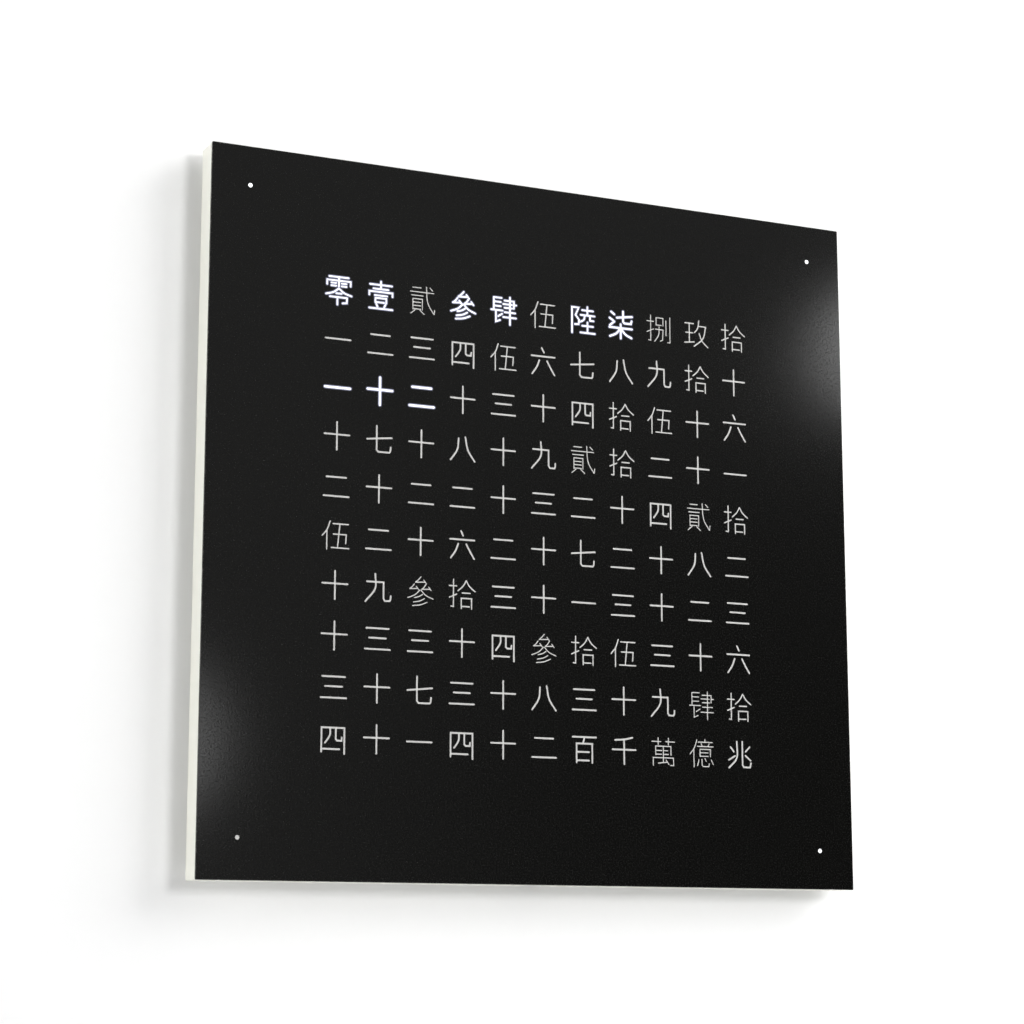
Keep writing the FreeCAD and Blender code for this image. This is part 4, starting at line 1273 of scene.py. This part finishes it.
class WORDCLOCK_OT_finishes(bpy.types.Operator):
    """Gives every node that keeps its own shape its finish"""

    bl_idname = "word_clock.finishes"
    bl_label = "Finishes"

    def execute(self, context):
        colours = context.scene.word_clock_colours
        colour = RECORD_COLOUR
        finishes = {
            cream_lacquer(colours): ["casing"],
            moulded("opal_sheet", colour["opal_plastic"], 0.4 * MM, 0.42, 0.01 * MM): ["diffuser_sheet"],
            moulded("grid_moulding", colour["grid_white"], 0.5 * MM, 0.5, 0.02 * MM): ["light_grid"],
            moulded("nylon", colour["spacer_nylon"], 0.5 * MM, 0.4, 0.02 * MM): [
                "board_spacers", "control_spacers"],
            moulded("lead_sheath", colour["cable_grey"], 0.6 * MM, 0.5, 0.03 * MM): ["minute_leads"],
            moulded("lid_moulding", colour["lid_plastic"], 0.7 * MM, 0.46, 0.05 * MM): ["service_lid"],
            moulded("black_moulding", colour["socket_black"], 0.4 * MM, 0.4, 0.02 * MM): [
                "power_socket", "coin_cell_holder", "setting_switches"],
            moulded("chip_epoxy", colour["chip_black"], 0.2 * MM, 0.5, 0.01 * MM): [
                "controller_chip", "light_sensor"],
            moulded("connector_moulding", colour["connector_ivory"], 0.4 * MM, 0.4, 0.02 * MM): [
                "ribbon_connectors"],
            circuit_board("white_board", colour["board_white"], 0.86): ["light_board", "minute_boards"],
            circuit_board("green_board", colour["board_green"], 1.7): ["control_board"],
            galvanised("zinc_plate", colour["zinc_steel"]): ["left_keyhole_plate", "right_keyhole_plate"],
            brushed("bright_screw", colour["bright_steel"], 0.25): ["control_screws"],
            brushed("cell_can", colour["cell_steel"], 0.2): ["coin_cell"],
            brushed("radio_can", colour["can_steel"], 0.3, (40.0, 1.0, 1.0)): ["radio_module"],
            brushed("brass", colour["pin_brass"], 0.25): ["socket_pin"],
            ribbon("ribbon_cable", colour["ribbon_white"]): ["ribbon_cable"],
        }
        for finish, nodes in finishes.items():
            for node in nodes:
                for held in frame["nodes"][node].material_slots:
                    held.material = finish
        return {"FINISHED"}


# Stage

WHITE = (1.0, 1.0, 1.0, 1.0)
STAGE_REACH = 6.0
WALL_PLACE = 8.0 * MM
WALL_GLOW, FLOOR_GLOW = 0.09, 0.5  # strengths, where 1 is white
LAMP_DISTANCE = 2.6
GLOSS_LAMP_DISTANCE = 0.3
GLOSS_LAMP_SPREAD = math.radians(40.0)


def flat_stage(name, corners, finish):
    """A sheet of the stage between four corners."""
    mesh = bpy.data.meshes.new(name)
    mesh.from_pydata(corners, [], [(0, 1, 2, 3)])
    piece = bpy.data.objects.new(name, painted(mesh, finish))
    bpy.context.scene.collection.objects.link(piece)
    return piece


def lamp(name, place, aim, side, power, **seen):
    """A square lamp at place that shines towards aim, and the kinds of ray that see it."""
    light = bpy.data.lights.new(name, "AREA")
    light.shape, light.size, light.energy = "SQUARE", side, power
    held = bpy.data.objects.new(name, light)
    bpy.context.scene.collection.objects.link(held)
    held.location = place
    held.rotation_euler = (aim - place).to_track_quat("-Z", "Y").to_euler()
    held.visible_camera = False
    for kind, on in seen.items():
        setattr(held, "visible_" + kind, on)
    return light


def gloss_lamp(name, spot, eye, width, power):
    """A small round lamp that is seen from eye in the plate's gloss at spot, and hardly from elsewhere."""
    ray = spot - eye
    way = Vector((ray.x, -ray.y, ray.z)).normalized()
    light = lamp(name, spot + way * GLOSS_LAMP_DISTANCE, spot, width, power, diffuse=False)
    light.shape, light.spread = "DISK", GLOSS_LAMP_SPREAD


def glowing_paint(paint, colour, strength):
    """Matt paint with a white glow added."""
    matt = paint.node("ShaderNodeBsdfDiffuse", None, {"Color": colour})
    white = paint.node("ShaderNodeEmission", None, {"Color": WHITE, "Strength": strength})
    return paint.node("ShaderNodeAddShader", None, {0: matt, 1: white})


def wall_paint(colours):
    """White wall, seen from the room side only. It takes the clock's shadow and reads as white elsewhere."""
    paint = Finish("wall_paint")
    seen = paint.node("ShaderNodeLightPath", output="Is Camera Ray")
    rays = seen.math("MAXIMUM", seen.other("Is Glossy Ray"))
    rays = rays.math("MAXIMUM", seen.other("Is Transmission Ray"))
    front = glowing_paint(paint, opaque(colours.wall), rays * WALL_GLOW)
    behind = paint.node("ShaderNodeNewGeometry", output="Backfacing")
    clear = paint.node("ShaderNodeBsdfTransparent")
    return paint.end(paint.node("ShaderNodeMixShader", None, {0: behind, 1: front, 2: clear}))


def floor_paint(colours):
    """Pale floor, faintly mottled, that glows for the camera alone."""
    paint = Finish("floor_paint")
    seen = paint.node("ShaderNodeLightPath", output="Is Camera Ray")
    tone = paint.blend(paint.noise(0.8, 3.0), opaque(colours.wall, 0.97), opaque(colours.wall))
    return paint.end(glowing_paint(paint, tone, seen * FLOOR_GLOW))


def room_light():
    """White behind the clock, an even light from the room, and a dim room in the plate's gloss."""
    world = bpy.data.worlds.new("room")
    world.use_nodes = True
    net = Net(world.node_tree)
    rays = net.node("ShaderNodeLightPath", output="Is Camera Ray")
    seen = rays.math("MAXIMUM", rays.other("Is Transmission Ray"))
    gloss = rays.other("Is Glossy Ray")
    way = net.node("ShaderNodeTexCoord", output="Generated")
    across = net.node("ShaderNodeSeparateXYZ", sockets={0: way})
    back, up = across.other("Y"), across.other("Z")
    lighter = up.rise(0.195, 0.225).math("MAXIMUM", 1.0 - across.rise(0.35, 0.40))
    in_gloss = 0.03 + lighter * 0.27 + back.rise(-0.1, 0.35) * 0.6
    fill = 0.18 + up.rise(-0.6, 0.6) * 0.14
    strength = fill * (1.0 - gloss) + in_gloss * gloss
    strength = strength * (1.0 - seen) + seen
    light = net.node("ShaderNodeBackground", None, {"Color": WHITE, "Strength": strength})
    net.node("ShaderNodeOutputWorld", None, {"Surface": light})
    return world


class WORDCLOCK_OT_stage(bpy.types.Operator):
    """Makes the wall, the pale floor, the soft lamps and the camera"""

    bl_idname = "word_clock.stage"
    bl_label = "Stage"

    def execute(self, context):
        scene = context.scene
        stage, colours = scene.word_clock_stage, scene.word_clock_colours
        far, floor = STAGE_REACH, -stage.floor_drop
        wall = flat_stage("wall", [
            (-far, WALL_PLACE, floor), (far, WALL_PLACE, floor), (far, WALL_PLACE, far),
            (-far, WALL_PLACE, far)], wall_paint(colours))
        wall.visible_shadow = False
        flat_stage("floor", [
            (-far, -far, floor), (far, -far, floor), (far, far, floor), (-far, far, floor)],
            floor_paint(colours))
        for name, place, side, power, glossy in (
                ("key_lamp", Vector((1.3, -1.0, 0.85)).normalized() * LAMP_DISTANCE, 1.8,
                 stage.key_power, False),
                ("front_lamp", Vector((0.21, -1.0, 0.13)).normalized() * LAMP_DISTANCE, 0.55,
                 stage.front_power, False),
                ("left_lamp", Vector((-2.5, -0.3, 0.0)), 0.6, stage.left_power, False),
                ("back_lamp", Vector((0.6, 2.5, 0.8)), 2.2, stage.back_power, True)):
            lamp(name, place, Vector(), side, power, glossy=glossy)
        for name, x, z, width, power in (
                ("right_gloss_lamp", 0.260, 0.146, 0.105, 0.0066),
                ("left_gloss_lamp", -0.264, -0.145, 0.11, 0.0045)):
            spot = Vector((x, PLATE_FRONT, z))
            gloss_lamp(name, spot, Vector(stage.camera_place), width, power)
        scene.world = room_light()
        camera = bpy.data.objects.new("camera", bpy.data.cameras.new("camera"))
        scene.collection.objects.link(camera)
        camera.location = stage.camera_place
        camera.rotation_euler = (math.pi / 2.0 + stage.camera_up, 0.0, -stage.camera_right)
        camera.data.lens = stage.camera_lens
        camera.data.sensor_width = 36.0
        camera.data.clip_start = 0.05
        scene.camera = camera
        scene.view_settings.view_transform = "Standard"
        return {"FINISHED"}


SETTINGS = {
    "word_clock_dial": DialSizes,
    "word_clock_colours": FinishColours,
    "word_clock_stage": StageSizes,
}

OPERATORS = (
    WORDCLOCK_OT_repeat_trees,
    WORDCLOCK_OT_dial,
    WORDCLOCK_OT_minute_dots,
    WORDCLOCK_OT_discs,
    WORDCLOCK_OT_screws,
    WORDCLOCK_OT_light_sources,
    WORDCLOCK_OT_buttons,
    WORDCLOCK_OT_light_pipe,
    WORDCLOCK_OT_finishes,
    WORDCLOCK_OT_stage,
)


class WORDCLOCK_PT_panel(bpy.types.Panel):
    """Lists the clock's settings and its operators"""

    bl_idname = "WORDCLOCK_PT_panel"
    bl_label = "Word clock"
    bl_space_type = "VIEW_3D"
    bl_region_type = "UI"
    bl_category = "Word clock"

    def draw(self, context):
        for name, group in SETTINGS.items():
            box = self.layout.box()
            for label in group.__annotations__:
                box.prop(getattr(context.scene, name), label)
        for operator in OPERATORS:
            self.layout.operator(operator.bl_idname)


def register():
    for group in SETTINGS.values():
        bpy.utils.register_class(group)
    for operator in OPERATORS:
        bpy.utils.register_class(operator)
    bpy.utils.register_class(WORDCLOCK_PT_panel)
    for name, group in SETTINGS.items():
        setattr(bpy.types.Scene, name, PointerProperty(type=group))


def unregister():
    for name in SETTINGS:
        delattr(bpy.types.Scene, name)
    bpy.utils.unregister_class(WORDCLOCK_PT_panel)
    for operator in reversed(OPERATORS):
        bpy.utils.unregister_class(operator)
    for group in reversed(SETTINGS.values()):
        bpy.utils.unregister_class(group)


def main():
    register()
    make = bpy.ops.word_clock
    make.repeat_trees()
    make.dial()
    make.minute_dots()
    make.discs()
    make.screws()
    make.light_sources()
    make.buttons()
    make.light_pipe()
    make.finishes()
    make.stage()


if __name__ == "__main__":
    main()
